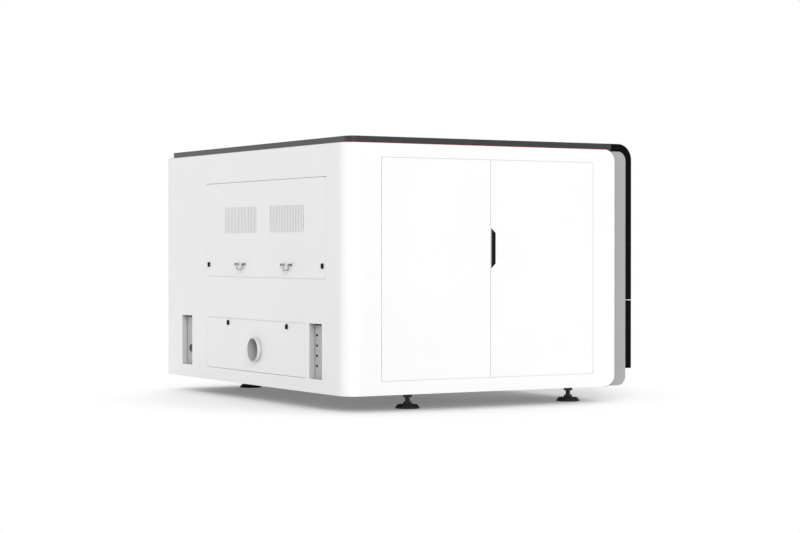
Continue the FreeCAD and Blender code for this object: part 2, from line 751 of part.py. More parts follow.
def pull_outline(shrink, d0, d1):
    """Trapezoid of the door pull, with its long side on the doors' centre seam."""
    u0 = DOORS_S + DOORS_W / 2 + GAP / 2 + PULL_IN + shrink
    u1 = u0 + PULL_W - 2 * shrink
    low = Z0 + DOORS_Z + PULL_Z + shrink
    high = low + PULL_H - 2 * shrink
    points = [at("left", u0, low, d0), at("left", u1, low + PULL_SLANT, d0),
              at("left", u1, high - PULL_SLANT, d0), at("left", u0, high, d0)]
    return prism(points, (0, 0, 0, 0), at("left", 0, 0, d1) - at("left", 0, 0, d0))


def side_doors():
    """Two white doors that meet at a centre seam, and the black pull in the front one."""
    middle = DOORS_S + DOORS_W / 2
    spans = {"door_rear_leaf": (DOORS_S + GAP, middle - GAP / 2),
             "door_front_leaf": (middle + GAP / 2, DOORS_S + DOORS_W - GAP)}
    doors = {}
    for name, (u0, u1) in spans.items():
        panel = add_ribs(leaf("left", u0, u1, DOOR_Z0, DOOR_Z1), u0, u1)
        doors[name] = add_bosses(panel, name)
    doors["door_front_leaf"] = doors["door_front_leaf"].cut(pull_outline(0, -CUT, LEAF_SHEET + CUT))
    for name, panel in doors.items():
        write(name, tidy(panel))
    hollow = pull_outline(PULL_WALL, -CUT, PULL_DEPTH - LEAF_SHEET)
    write("door_pull", pull_outline(0, 0, PULL_DEPTH).cut(hollow))


def vent_slots():
    """Upright slots of the two vents."""
    slots = []
    pitch = VENT_W / SLOTS
    for centre in VENT_A:
        for i in range(SLOTS):
            a = centre - VENT_W / 2 + (i + 0.5) * pitch
            slots.append(plate("rear", a - SLOT_W / 2, a + SLOT_W / 2, VENT_Z, VENT_Z + VENT_H,
                               -CUT, LEAF_SHEET + CUT))
    return Part.makeCompound(slots)


UPPER_LATCH_Z = Z0 + UPPER_Z + UPPER_LATCH_UP
LOWER_LATCH_Z = Z0 + LOWER_Z + LOWER_LATCH_UP
UPPER_LATCHES = [(UPPER_A + UPPER_LATCH_IN, UPPER_LATCH_Z),
                 (UPPER_A + UPPER_W - UPPER_LATCH_IN, UPPER_LATCH_Z)]
LOWER_LATCHES = [(LOWER_A + LOWER_LATCH_LEFT, LOWER_LATCH_Z),
                 (LOWER_A + LOWER_W - LOWER_LATCH_RIGHT, LOWER_LATCH_Z)]


def latch_bores(places):
    """Holes for the shafts of a cover's latches."""
    bores = [peg("rear", a, z, -CUT, LEAF_T, LATCH_SHAFT_R + RUN) for a, z in places]
    return Part.makeCompound(bores)


def upper_cover():
    """Upper rear cover, hinged at its top, with two slotted vents."""
    panel = leaf("rear", UPPER_A + GAP, UPPER_A + UPPER_W - GAP, Z0 + UPPER_Z + GAP,
                 Z0 + UPPER_Z + UPPER_H - GAP, (UPPER_R - GAP, UPPER_R - GAP, 0, 0))
    panel = add_bosses(panel, "upper_cover").cut(vent_slots()).cut(latch_bores(UPPER_LATCHES))
    write("upper_cover", tidy(panel))


def lower_cover():
    """Lower rear cover, hinged at its foot, with the exhaust spigot."""
    panel = leaf("rear", LOWER_A + GAP, LOWER_A + LOWER_W - GAP, Z0 + LOWER_Z + GAP,
                 Z0 + LOWER_Z + LOWER_H - GAP)
    panel = add_bosses(panel, "lower_cover").cut(latch_bores(LOWER_LATCHES))
    a, z = HALF_W + SPIGOT_X, SPIGOT_Z
    panel = panel.cut(peg("rear", a, z, -CUT, LEAF_SHEET + CUT, SPIGOT_NECK_R))
    inside = LEAF_SHEET + SPIGOT_FLANGE_T
    ring = peg("rear", a, z, -REAR_PROUD, 0, SPIGOT_R)
    sleeve = peg("rear", a, z, 0, RECESS_D - SLEEVE_GAP, SPIGOT_NECK_R)
    flange = peg("rear", a, z, LEAF_SHEET, inside, SPIGOT_R + SPIGOT_FLANGE)
    bore = peg("rear", a, z, -REAR_PROUD - CUT, RECESS_D, SPIGOT_BORE_R)
    write("lower_cover", tidy(panel))
    write("exhaust_spigot", tidy(ring.fuse([sleeve, flange]).cut(bore)))


def latch(a, z, across, up):
    """Quarter-turn latch: a winged knob outside, a shaft, and a tongue that points across or up."""
    half_w, half_h = LATCH_W / 2, LATCH_H / 2
    knob = plate("rear", a - half_w, a + half_w, z - half_h, z + half_h, -LATCH_BASE, -CLEAR,
                 [LATCH_PLATE_R] * 4)
    wing_h = half_h - WING_SHORT
    wing = plate("rear", a - WING_HALF, a + WING_HALF, z - wing_h, z + wing_h, -WING_OUT, -LATCH_BASE,
                 [WING_R] * 4)
    shaft = peg("rear", a, z, -CUT, LEAF_T + LATCH_PAST, LATCH_SHAFT_R)
    tip_a, tip_z = a + across * TONGUE_L, z + up * TONGUE_L
    start = LEAF_T + TONGUE_GAP
    tongue = plate("rear", min(a - TONGUE_HALF, tip_a), max(a + TONGUE_HALF, tip_a), z - TONGUE_HALF,
                   max(z + TONGUE_HALF, tip_z), start, start + TONGUE_T)
    return tidy(knob.fuse([wing, shaft, tongue]))


def latches():
    """The four cover latches."""
    for side, across, (a, z) in zip(("left", "right"), (-1, 1), UPPER_LATCHES):
        write(f"upper_latch_{side}", latch(a, z, across, 0))
    for side, (a, z) in zip(("left", "right"), LOWER_LATCHES):
        write(f"lower_latch_{side}", latch(a, z, 0, 1))


BAIL_Z = Z0 + UPPER_Z + BAIL_UP
BAIL_A = [a - BAIL_SHIFT for a in VENT_A]


def bail(a):
    """Folding handle bent from round bar, with its two ends turned into the brackets."""
    y, z = REAR_Y + BAIL_OUT, BAIL_Z
    left, right = -HALF_W + a - BAIL_W / 2, -HALF_W + a + BAIL_W / 2
    points = [Vector(left - BAIL_END, y, z), Vector(left, y, z), Vector(left, y, z - BAIL_DROP),
              Vector(right, y, z - BAIL_DROP), Vector(right, y, z), Vector(right + BAIL_END, y, z)]
    radii = [BAIL_TURN, BAIL_BEND, BAIL_BEND, BAIL_TURN]
    edges = []
    last = points[0]
    for i, radius in enumerate(radii, 1):
        back = (points[i - 1] - points[i]).normalize()
        ahead = (points[i + 1] - points[i]).normalize()
        start, end = points[i] + back * radius, points[i] + ahead * radius
        middle = points[i] + (back + ahead).normalize() * (radius * (math.sqrt(2) - 1))
        edges.append(Part.LineSegment(last, start).toShape())
        edges.append(Part.Arc(start, middle, end).toShape())
        last = end
    edges.append(Part.LineSegment(last, points[-1]).toShape())
    circle = Part.Wire([Part.makeCircle(BAIL_R, points[0], Vector(1, 0, 0))])
    return Part.Wire(edges).makePipeShell([circle], True, False)


def bails():
    """The two folding handles and their brackets."""
    brackets = []
    for a in BAIL_A:
        for side in (-1, 1):
            near = a + side * (BAIL_W / 2 + BAIL_TURN + BRACKET_GAP)
            u0, u1 = sorted((near, near + side * BRACKET_W))
            block = plate("rear", u0, u1, BAIL_Z - BRACKET_H / 2, BAIL_Z + BRACKET_H / 2, -BRACKET_PROUD, 0,
                          [BRACKET_R] * 4)
            bore = rod(at("rear", u0 - CUT, BAIL_Z, -BAIL_OUT), at("rear", u1 + CUT, BAIL_Z, -BAIL_OUT),
                       BAIL_R + RUN)
            brackets.append(block.cut(bore))
    write("handle_brackets", *brackets)
    for side, a in zip(("left", "right"), BAIL_A):
        write(f"bail_handle_{side}", bail(a))


def hinge_pins():
    """All hinge pins, which stand in the shell, the roof ear and the console."""
    pins = [hinge_pin(end, out) for name in (*DOOR_HINGES, *REAR_HINGES) for end, out in hinge_ends(name)]
    pins.append(hood_pin(-CORE_X + HOOD_PIN_WALL, -CORE_X + EAR_L + PIN_REACH, HOOD_PIN_R))
    pins.append(hood_pin(CONSOLE_X - CONSOLE_GAP - PIN_REACH, CONSOLE_X + EAR_L, HOOD_PIN_R))
    write("hinge_pins", *pins)


# Front

def black_band(x0, x1, k, inner_front, inner_top, bottom, rear):
    """Band that runs down the front and over the top. k shrinks its outer outline."""
    places = [(rear, TOP - k), (BODY_D - k, TOP - k), (BODY_D - k, bottom), (inner_front, bottom),
              (inner_front, inner_top), (rear, inner_top)]
    return section(places, (0, HOOD_R - k, 0, 0, FRAME_TOP_R, 0), x0, x1)


def pan_band(x0, x1, front_t, top_t):
    """The band as a pan, open towards the machine."""
    k = HOOD_SKIN
    solid = black_band(x0, x1, 0, BODY_D - front_t, TOP - top_t, HOOD_Z, HOOD_S)
    inside = black_band(x0 + k, x1 - k, k, BODY_D - front_t - 2 * CUT, TOP - top_t - 2 * CUT, HOOD_Z + k,
                        HOOD_S + k)
    return solid.cut(inside)


def window_plate(grow, d0, d1):
    """Slab with the window's outline, grown all round."""
    x, w, h = (OPEN_X0 + OPEN_X1) / 2, WINDOW_W / 2 + grow, WINDOW_H / 2 + grow
    return plate("front", x - w, x + w, WINDOW_Z - h, WINDOW_Z + h, d0, d1, [WINDOW_R + grow] * 4)


def hood():
    """Flip-up hood with its window, handle and hinge bosses."""
    x0, x1 = -CORE_X, CONSOLE_X - CONSOLE_GAP
    shell = pan_band(x0, x1, FASCIA_T, FASCIA_T)
    left = x0 + EAR_L + EAR_GAP
    notch = beam(x0 - CUT, left, PANEL_S + ROOF_SEAM, ROOF_S, TOP - FASCIA_T - CUT, TOP + CUT)
    shell = shell.cut(notch)
    for b0, b1 in ((left, left + PIN_REACH), (x1 - PIN_REACH, x1)):
        shell = shell.fuse(beam(b0, b1, HOOD_S + HOOD_BOSS_D, HOOD_S, TOP - HOOD_BOSS_H, TOP - CUT))
    shell = shell.cut(hood_pin(x0, x1 + CUT, HOOD_PIN_R + RUN))
    shell = shell.fuse(window_plate(WINDOW_RIM, CUT, RIM_T)).cut(window_plate(0, -CUT, RIM_T + CUT))
    shell = shell.cut(window_plate(GLASS_LAP, HOOD_SKIN, RIM_T + CUT))
    write("hood_shell", tidy(shell))
    inset = GLASS_LAP - GLASS_PLAY
    write("hood_window", window_plate(inset, HOOD_SKIN, HOOD_SKIN + GLASS_T))
    hood_handle((x0 + x1) / 2)


def hood_handle(x):
    """Round bar on two posts along the hood's lower edge."""
    z = HOOD_Z + HANDLE_UP
    out = HANDLE_R - FRONT_PROUD
    half = HANDLE_L / 2
    bar = rod(at("front", x - half, z, out), at("front", x + half, z, out), HANDLE_R)
    for side in (-1, 1):
        bar = bar.fuse(peg("front", x + side * (half - POST_IN), z, out, 0, POST_R))
    write("hood_handle", tidy(bar))


def tray_frame(shell, x0, x1, z0, z1):
    """Folded frame round an opening in the portal frame."""
    k = HOOD_SKIN
    wall = beam(x0 - k, x1 + k, FRAME_S1, PANEL_S, z0 - k, z1 + k)
    return shell.fuse(wall).cut(beam(x0, x1, FRAME_S1 + CUT, PANEL_S - CUT, z0, z1))


def drawer_opening():
    """Edges of the drawer's opening in the portal frame."""
    x = DRAWER_W / 2 + DRAWER_SIDE
    return -x, x, DRAWER_Z - DRAWER_EDGE, DRAWER_Z + DRAWER_H + DRAWER_EDGE


def front_frame():
    """Grey folded portal frame with the loading opening, the drawer opening and the console bay."""
    k = HOOD_SKIN
    radii = (0, FRAME_BOTTOM_R, FRAME_TOP_R, 0)
    places = [(PANEL_S, Z0), (FRAME_S1, Z0), (FRAME_S1, FRAME_TOP), (PANEL_S, FRAME_TOP)]
    inner = [(PANEL_S - CUT, Z0 + k), (FRAME_S1 - k, Z0 + k), (FRAME_S1 - k, FRAME_TOP - k),
             (PANEL_S - CUT, FRAME_TOP - k)]
    frame = section(places, radii, -CORE_X, CORE_X)
    frame = frame.cut(section(inner, [max(r - k, 0) for r in radii], -CORE_X + k, CORE_X - k))
    left, right, low, high = BAY
    frame = tray_frame(frame, OPEN_X0, OPEN_X1, OPEN_Z0, OPEN_Z1)
    frame = tray_frame(frame, *drawer_opening())
    frame = tray_frame(frame, CONSOLE_X + left, CORE_X - right, BUTTON_Z - low, SCREEN_Z + SCREEN_H + high)
    write("front_frame", tidy(frame))


def lower_fascia():
    """Black panel below the hood with the scrap drawer's opening."""
    k = HOOD_SKIN
    z0, z1 = Z0 + FASCIA_BOTTOM, Z0 + HOOD_BOTTOM
    t = FASCIA_T + FASCIA_GAP
    panel = plate("front", -CORE_X, CORE_X, z0, z1, 0, t)
    panel = panel.cut(plate("front", -CORE_X + k, CORE_X - k, z0 + k, z1 - k, k, t + CUT))
    x0, x1, h0, h1 = drawer_opening()
    panel = panel.fuse(plate("front", x0 - k, x1 + k, h0 - k, h1 + k, 0, t))
    write("lower_fascia", tidy(panel.cut(plate("front", x0, x1, h0, h1, -CUT, t + CUT))))


def console():
    """Fixed console: fascia, screen, emergency stop and push buttons."""
    shell = pan_band(CONSOLE_X, CORE_X, BODY_D - FRAME_S1, TOP - FRAME_TOP)
    boss = beam(CONSOLE_X, CONSOLE_X + CONSOLE_BOSS, HOOD_S + HOOD_BOSS_D, HOOD_S, TOP - HOOD_BOSS_H,
                TOP - CUT)
    shell = shell.fuse(boss).cut(hood_pin(CONSOLE_X - CUT, CONSOLE_X + EAR_L, HOOD_PIN_R))
    middle = (CONSOLE_X + CORE_X) / 2
    x0, x1 = middle - SCREEN_W / 2, middle + SCREEN_W / 2
    z0, z1 = SCREEN_Z, SCREEN_Z + SCREEN_H
    shell = shell.cut(plate("front", x0, x1, z0, z1, -CUT, HOOD_SKIN + CUT, [SCREEN_R] * 4))
    screen = plate("front", x0, x1, z0, z1, 0, HOOD_SKIN, [SCREEN_R] * 4)
    k = SCREEN_BOX
    screen = screen.fuse(plate("front", x0 - k, x1 + k, z0 - k, z1 + k, HOOD_SKIN, SCREEN_T))
    write("control_screen", tidy(screen))
    places = [middle + i * BUTTON_PITCH for i in (-1, 0, 1)]
    for x, stem in zip(places, (ESTOP_STEM_R, BUTTON_R, BUTTON_R)):
        shell = shell.cut(peg("front", x, BUTTON_Z, -CUT, HOOD_SKIN + CUT, stem + RUN))
    write("console_fascia", tidy(shell))
    estop_button(places[0])
    for name, x in zip(("start_button", "stop_button"), places[1:]):
        cap = peg("front", x, BUTTON_Z, -BUTTON_OUT, BUTTON_BACK, BUTTON_R)
        collar = peg("front", x, BUTTON_Z, HOOD_SKIN + CLEAR, COLLAR_BACK, BUTTON_R + COLLAR_R)
        write(name, tidy(cap.fuse(collar)))


def estop_button(x):
    """Mushroom head on its stem, with a collar behind the fascia."""
    head = peg("front", x, BUTTON_Z, -ESTOP_OUT, -ESTOP_UNDER, ESTOP_R)
    rim = [edge for edge in head.Edges if abs(edge.BoundBox.YMax - (FRONT_Y - ESTOP_OUT)) < CUT / 2]
    head = head.makeChamfer(ESTOP_EDGE, rim)
    stem = peg("front", x, BUTTON_Z, -ESTOP_UNDER - CUT, ESTOP_BACK, ESTOP_STEM_R)
    collar = peg("front", x, BUTTON_Z, HOOD_SKIN + CLEAR, COLLAR_BACK, ESTOP_STEM_R + COLLAR_R)
    write("estop_button", tidy(head.fuse([stem, collar])))


def scrap_drawer():
    """Steel tray that slides out under the table, with its black front and side runners."""
    s0, s1 = FRAME_S1 - DRAWER_D, FRAME_S1
    x, t = DRAWER_W / 2, SHEET
    z0, z1 = DRAWER_Z, DRAWER_Z + DRAWER_H
    tray = beam(-x, x, s0, s1, z0, z1 - DRAWER_RIM)
    write("scrap_drawer", tray.cut(beam(-x + t, x - t, s0 + t, s1 - t, z0 + t, z1)))
    x0, x1, h0, h1 = drawer_opening()
    high = h1 - GAP
    front = plate("front", x0 + GAP, x1 - GAP, h0 + GAP, high, 0, FASCIA_T + FASCIA_GAP)
    grip = plate("front", -GRIP_HALF, GRIP_HALF, high - GRIP_H, high + CUT, -CUT, GRIP_D)
    behind = plate("front", -GRIP_HALF, GRIP_HALF, high - GRIP_H, high - GRIP_LIP, GRIP_FRONT, GRIP_BACK)
    write("drawer_front", tidy(front.cut(grip.fuse(behind))))
    drawer_runners(s0, x, z0)


def drawer_runners(s0, x, z0):
    """Folded rails that carry the drawer, each on its own foot."""
    s1 = PANEL_S - 2 * CUT
    runners = []
    for side in (-1, 1):
        inner = side * (x + DRAWER_PLAY)
        foot = beam(inner, side * (x + RUNNER_BASE), s0, s1, FLOOR_Z, z0 - DRAWER_PLAY)
        rail = beam(inner, side * (x + RUNNER_W), s0, s1, z0 - DRAWER_PLAY, z0 + RUNNER_UP)
        shelf = beam(side * (x - RUNNER_IN), inner, s0, s1, z0 - RUNNER_T, z0 - CLEAR)
        runners.append(tidy(foot.fuse([rail, shelf])))
    write("drawer_runners", *runners)


# Feet and frames

def foot_places():
    """Plan places of the four feet."""
    x = HALF_W - FOOT_IN
    return [(sx * x, depth(s)) for s in (FOOT_REAR, BODY_D - FOOT_FRONT) for sx in (-1, 1)]


def feet():
    """Levelling feet: black pads, and studs with a locknut and a top flange."""
    pads, bolts = [], []
    reach = NUT_AF / math.sqrt(3)
    pad = [(0, 0), (PAD_R, 0), (PAD_R, PAD_EDGE), (PAD_TOP_R, PAD_H), (STUD_R, PAD_H),
           (STUD_R, PAD_H - STUD_SEAT), (0, PAD_H - STUD_SEAT)]
    stud = [(0, PAD_H - STUD_SEAT), (STUD_R, PAD_H - STUD_SEAT), (STUD_R, FOOT_H - FLANGE_T),
            (FLANGE_R, FOOT_H - FLANGE_T), (FLANGE_R, FOOT_H), (0, FOOT_H)]
    for x, y in foot_places():
        pads.append(turned(x, y, 0, pad))
        angles = [i * math.pi / 3 for i in range(6)]
        corners = [Vector(x + reach * math.cos(t), y + reach * math.sin(t), PAD_H) for t in angles]
        nut = prism(corners, [0] * 6, Vector(0, 0, NUT_H))
        bolts.append(tidy(turned(x, y, 0, stud).fuse(nut)))
    write("foot_pads", *pads)
    write("foot_bolts", *bolts)


def leg_places():
    """Rear edges of the bed's legs along the depth."""
    return (BED_S0 + LEG_IN, BED_S1 - TUBE - LEG_IN)


def base_frame():
    """Welded tube skid under the shell, with members over the feet and under the bed's legs."""
    x, half = HALF_W - BASE_IN, TUBE / 2
    z0, z1 = Z0 + SHEET, FLOOR_Z
    s0, s1 = BASE_IN, PANEL_S - SHEET
    bars = [beam(-x, x, s, s + TUBE, z0, z1) for s in (s0, s1 - TUBE, *leg_places())]
    rails = [-x + half, x - half, FOOT_IN - HALF_W, HALF_W - FOOT_IN]
    bars += [beam(c - half, c + half, s0, s1, z0, z1) for c in rails]
    frame = bars[0].fuse(bars[1:]).common(plan_block(BASE_IN, Z0, z1, s1)).common(side_block(-SHEET - CLEAR))
    p = FOOT_PLATE
    plates = [box(px - p, px + p, py - p, py + p, Z0, z0 + CUT) for px, py in foot_places()]
    write("base_frame", tidy(frame.fuse(plates)))


def partitions():
    """Sheet walls between the cutting chamber and the cabinets, and the duct to the spigot."""
    x, t = CHAMBER_W / 2, SHEET
    top = Z1 - WALL_TOP
    walls = [beam(side * x, side * (x + t), CHAMBER_S, PANEL_S, FLOOR_Z, top) for side in (-1, 1)]
    write("side_partitions", *walls)
    rear = beam(-x, x, CHAMBER_S, CHAMBER_S + t, FLOOR_Z, top)
    w, h, z = DUCT_W / 2, DUCT_H / 2, SPIGOT_Z
    left, right = SPIGOT_X - w, SPIGOT_X + w
    duct = beam(left, right, RECESS_D, CHAMBER_S, z - h, z + h)
    bore = beam(left + t, right - t, RECESS_D - CUT, CHAMBER_S + t + CUT, z - h + t, z + h - t)
    write("rear_partition", tidy(rear.fuse(duct).cut(bore)))


def bed_frame():
    """Machine bed: two side beams on legs, tied by two cross tubes that carry the table."""
    half, leg = BEAM_W / 2, TUBE / 2
    pieces = []
    for c in (-RAIL_X, RAIL_X):
        pieces.append(beam(c - half, c + half, BED_S0, BED_S1, BED_Z0, BED_Z1))
        pieces += [beam(c - leg, c + leg, s, s + TUBE, FLOOR_Z, BED_Z0) for s in leg_places()]
    for s in (TABLE_S0 + TIE_IN, TABLE_S1 - TIE_IN - TABLE_TIE):
        pieces.append(beam(-RAIL_X, RAIL_X, s, s + TABLE_TIE, BED_Z0, TABLE_UNDER))
    write("bed_frame", tidy(pieces[0].fuse(pieces[1:])))


def rail(start, along, across, up, length):
    """Profiled guide rail with a waist, standing on its foot."""
    half, h = RAIL_W / 2, RAIL_H
    shape = [(-half, 0), (half, 0), (half, h * 0.3), (half * 0.7, h * 0.5), (half, h * 0.75), (half, h),
             (-half, h), (-half, h * 0.75), (-half * 0.7, h * 0.5), (-half, h * 0.3)]
    points = [start + across * a + up * b for a, b in shape]
    return prism(points, [0] * len(points), along * length)


def block(centre, along, across, up):
    """Bearing block that straddles a rail."""
    half, h = RAIL_W / 2 + CLEAR, RAIL_H + CLEAR
    foot = RAIL_H * 0.35
    outer, top = half + BLOCK_CHEEK, RAIL_H + BLOCK_T
    shape = [(-outer, foot), (-half, foot), (-half, h), (half, h), (half, foot), (outer, foot), (outer, top),
             (-outer, top)]
    points = [centre - along * (BLOCK_L / 2) + across * a + up * b for a, b in shape]
    return prism(points, [0] * len(points), along * BLOCK_L)


def guideways():
    """Guide rails of the bed and of the gantry, with their bearing blocks."""
    ux, uy, uz = Vector(1, 0, 0), Vector(0, 1, 0), Vector(0, 0, 1)
    bed, cross, bed_blocks, cross_blocks = [], [], [], []
    for side in (-1, 1):
        start = Vector(side * RAIL_X, depth(BED_S1 - RAIL_END), BED_Z1)
        bed.append(rail(start, uy, ux, uz, BED_S1 - BED_S0 - 2 * RAIL_END))
        for shift in (-1, 1):
            s = GANTRY_MID + shift * (TRUCK_D / 2 - BLOCK_IN)
            bed_blocks.append(block(Vector(side * RAIL_X, depth(s), BED_Z1), uy, ux, uz))
    for z in (GANTRY_Z0 + X_RAIL_EDGE, GANTRY_Z1 - X_RAIL_EDGE):
        start = Vector(-RAIL_X + X_RAIL_IN, depth(GANTRY_S1), z)
        cross.append(rail(start, ux, uz, uy * -1, 2 * (RAIL_X - X_RAIL_IN)))
        for x in (-X_BLOCK_AT, X_BLOCK_AT):
            cross_blocks.append(block(Vector(x, depth(GANTRY_S1), z), ux, uz, uy * -1))
    write("y_rails", *bed)
    write("y_blocks", *bed_blocks)
    write("x_rails", *cross)
    write("x_blocks", *cross_blocks)


def gantry_beam():
    """Box beam across the table, lightened by holes in its rear wall, with a foot at each end."""
    wall, x = GANTRY_WALL, RAIL_X + GANTRY_END
    girder = beam(-x, x, GANTRY_S0, GANTRY_S1, GANTRY_Z0, GANTRY_Z1)
    girder = girder.cut(beam(-x - CUT, x + CUT, GANTRY_S0 + wall, GANTRY_S1 - wall, GANTRY_Z0 + wall,
                             GANTRY_Z1 - wall))
    pitch = 2 * RAIL_X / (GANTRY_HOLES + 1)
    z = (GANTRY_Z0 + GANTRY_Z1) / 2
    for i in range(GANTRY_HOLES):
        hx = -RAIL_X + (i + 1) * pitch
        hole = rod(Vector(hx, depth(GANTRY_S0 - CUT), z), Vector(hx, depth(GANTRY_S0 + wall + CUT), z),
                   GANTRY_HOLE_R)
        girder = girder.cut(hole)
    z0 = BED_Z1 + RAIL_H + BLOCK_T
    places = [(GANTRY_MID - TRUCK_D / 2, z0), (GANTRY_MID + TRUCK_D / 2, z0), (GANTRY_S1, GANTRY_Z0),
              (GANTRY_S0, GANTRY_Z0)]
    for c in (-RAIL_X, RAIL_X):
        girder = girder.fuse(section(places, (0, 0, 0, 0), c - TRUCK_HALF, c + TRUCK_HALF))
    write("gantry_beam", tidy(girder))


CARRIAGE_S = GANTRY_S1 + RAIL_H + BLOCK_T
GUIDE_S = CARRIAGE_S + CARRIAGE_T + GUIDE_T


def carriage():
    """Plate on the gantry with the upright guide and motor of the head."""
    s0, c = CARRIAGE_S, CARRIAGE_HALF
    back = beam(-c, c, s0, s0 + CARRIAGE_T, GANTRY_Z0 - CARRIAGE_OVER, GANTRY_Z1 + CARRIAGE_OVER)
    z0, z1 = GANTRY_Z0 - GUIDE_DOWN, GANTRY_Z1 + GUIDE_UP
    guide = beam(-GUIDE_HALF, GUIDE_HALF, s0 + CARRIAGE_T, GUIDE_S, z0, z1)
    middle = GUIDE_S
    shelf = beam(-SHELF_HALF, SHELF_HALF, middle - SHELF_D / 2, middle + SHELF_D / 2, z1, z1 + SHELF_T)
    write("x_carriage", tidy(back.fuse([guide, shelf])))
    low, half = z1 + SHELF_T, MOTOR / 2
    motor = beam(-half, half, middle - half, middle + half, low, low + MOTOR_L)
    motor = motor.makeFillet(MOTOR_R, upright_edges(motor, MOTOR_L))
    top = Vector(0, depth(middle), low + MOTOR_L)
    write("z_motor", tidy(motor.fuse(rod(top, top + Vector(0, 0, ENCODER_L), ENCODER_R))))


def head():
    """Moving plate with the cutting head and its nozzle."""
    s0, axis_s = GUIDE_S + CLEAR, GANTRY_S1 + HEAD_FRONT
    low, tip, y = GANTRY_Z0 - GUIDE_DOWN, TABLE_Z + NOZZLE_CLEAR, depth(axis_s)
    top = GANTRY_Z0 + HEAD_TOP
    slide = beam(-SLIDE_HALF, SLIDE_HALF, s0, s0 + SLIDE_T, low, low + SLIDE_H)
    arm = beam(-ARM_HALF, ARM_HALF, s0 + SLIDE_T, axis_s, low + ARM_UP, low + ARM_UP + ARM_H)
    seat = rod(Vector(0, y, tip), Vector(0, y, top), HEAD_R + CLEAR)
    write("z_plate", tidy(slide.fuse(arm).cut(seat)))
    cutting_head(y, tip, top)
    profile = [(NOZZLE_BORE_R, 0), (NOZZLE_TIP_R, 0), (NOZZLE_R, NOZZLE_CONE), (NOZZLE_R, NOZZLE_L),
               (NOZZLE_BORE_R, NOZZLE_L)]
    write("nozzle", turned(0, y, tip, profile))


def cutting_head(y, tip, top):
    """Turned housing with its focus groove, fibre connector, lens cassette and hose barbs."""
    neck, body = NOZZLE_L + COLLAR_L, NOZZLE_L + COLLAR_L + NECK_L
    end = top - tip
    step, edge = end - BARB_DOWN, HEAD_R - HEAD_SHOULDER_R
    profile = [(0, NOZZLE_L), (HEAD_NECK_R, NOZZLE_L), (HEAD_NECK_R, neck), (HEAD_R, body),
               (HEAD_R, step - 2 * edge), (HEAD_R - HEAD_GROOVE, step - 2 * edge + HEAD_GROOVE),
               (HEAD_R - HEAD_GROOVE, step - edge), (HEAD_R, step - edge + HEAD_GROOVE),
               (HEAD_R, end - edge), (HEAD_SHOULDER_R, end), (FIBRE_R, end), (FIBRE_R, end + FIBRE_L),
               (0, end + FIBRE_L)]
    housing = turned(0, y, tip, profile)
    width, reach, height = CASSETTE
    z0 = tip + neck + CASSETTE_UP
    cassette = box(-width / 2, width / 2, y - HEAD_R - reach, y, z0, z0 + height)
    z = top - BARB_DOWN / 2
    barbs = [rod(Vector(0, y, z), Vector(side * (HEAD_R + BARB_L), y, z), BARB_R) for side in (-1, 1)]
    write("cutting_head", tidy(housing.fuse([cassette, *barbs])))


def slat(x0):
    """One upright strip with a saw-toothed top."""
    s0, s1 = TABLE_S0 + SLAT_PLAY, TABLE_S1 - SLAT_PLAY
    teeth = max(int((s1 - s0) / TOOTH_PITCH), 1)
    pitch = (s1 - s0) / teeth
    places = [(s0, SLAT_Z0), (s1, SLAT_Z0)]
    for i in range(teeth, 0, -1):
        places += [(s0 + i * pitch, TABLE_Z - TOOTH_H), (s0 + (i - 0.5) * pitch, TABLE_Z)]
    places.append((s0, TABLE_Z - TOOTH_H))
    points = [Vector(x0, depth(s), z) for s, z in places]
    return Part.Face(Part.makePolygon(points + points[:1])).extrude(Vector(SLAT_T, 0, 0))


def table():
    """Slat table: a frame with two notched bars, and upright toothed slats in the notches."""
    x, b, z0 = TABLE_W / 2, TABLE_BAR, TABLE_UNDER
    frame = beam(-x - b, x + b, TABLE_S0 - b, TABLE_S1 + b, z0, TABLE_Z - TABLE_RIM)
    frame = frame.cut(beam(-x, x, TABLE_S0, TABLE_S1, z0 - CUT, TABLE_Z))
    places = [-x + (i + 0.5) * TABLE_W / SLATS for i in range(SLATS)]
    for s in (TABLE_S0, TABLE_S1 - COMB_T):
        comb = beam(-x, x, s, s + COMB_T, z0, SLAT_Z0 + COMB_H)
        reach = SLAT_T / 2 + SLAT_PLAY
        notches = [beam(c - reach, c + reach, s - CUT, s + COMB_T + CUT, SLAT_Z0, SLAT_Z0 + COMB_H + CUT)
                   for c in places]
        frame = frame.fuse(comb.cut(Part.makeCompound(notches)))
    write("table_frame", tidy(frame))
    write("slats", *[slat(c - SLAT_T / 2) for c in places])


# Left cabinet and rear compartment

RACK_X0 = -HALF_W + REBATE + SHEET + CABINET_GAP
RACK_X1 = -CHAMBER_W / 2 - SHEET - CABINET_GAP
RACK_S0 = DOORS_S + RACK_REAR
RACK_S1 = DOORS_S + DOORS_W - RACK_FRONT
SHELF_LOW = FLOOR_Z + SHELF_UP
SHELF_HIGH = SHELF_LOW + SOURCE[2] + SHELF_ROOM


def equipment_rack():
    """Welded rack in the left cabinet with two shelves and the drives' mounting plate."""
    x0, x1, s0, s1, b = RACK_X0, RACK_X1, RACK_S0, RACK_S1, RACK_BAR
    top = Z0 + DOORS_H
    pieces = [beam(x, x + b, s, s + b, FLOOR_Z, top) for x in (x0, x1 - b) for s in (s0, s1 - b)]
    for z in (SHELF_LOW, SHELF_HIGH):
        pieces.append(beam(x0, x1, s0, s1, z - SHEET, z))
        pieces += [beam(x0, x1, s, s + b, z - b, z) for s in (s0, s1 - b)]
    face = x1 - RACK_BACK
    pieces.append(beam(face - SHEET, face, s0, s1, SHELF_HIGH, top - SHELF_UP))
    write("equipment_rack", tidy(pieces[0].fuse(pieces[1:])))


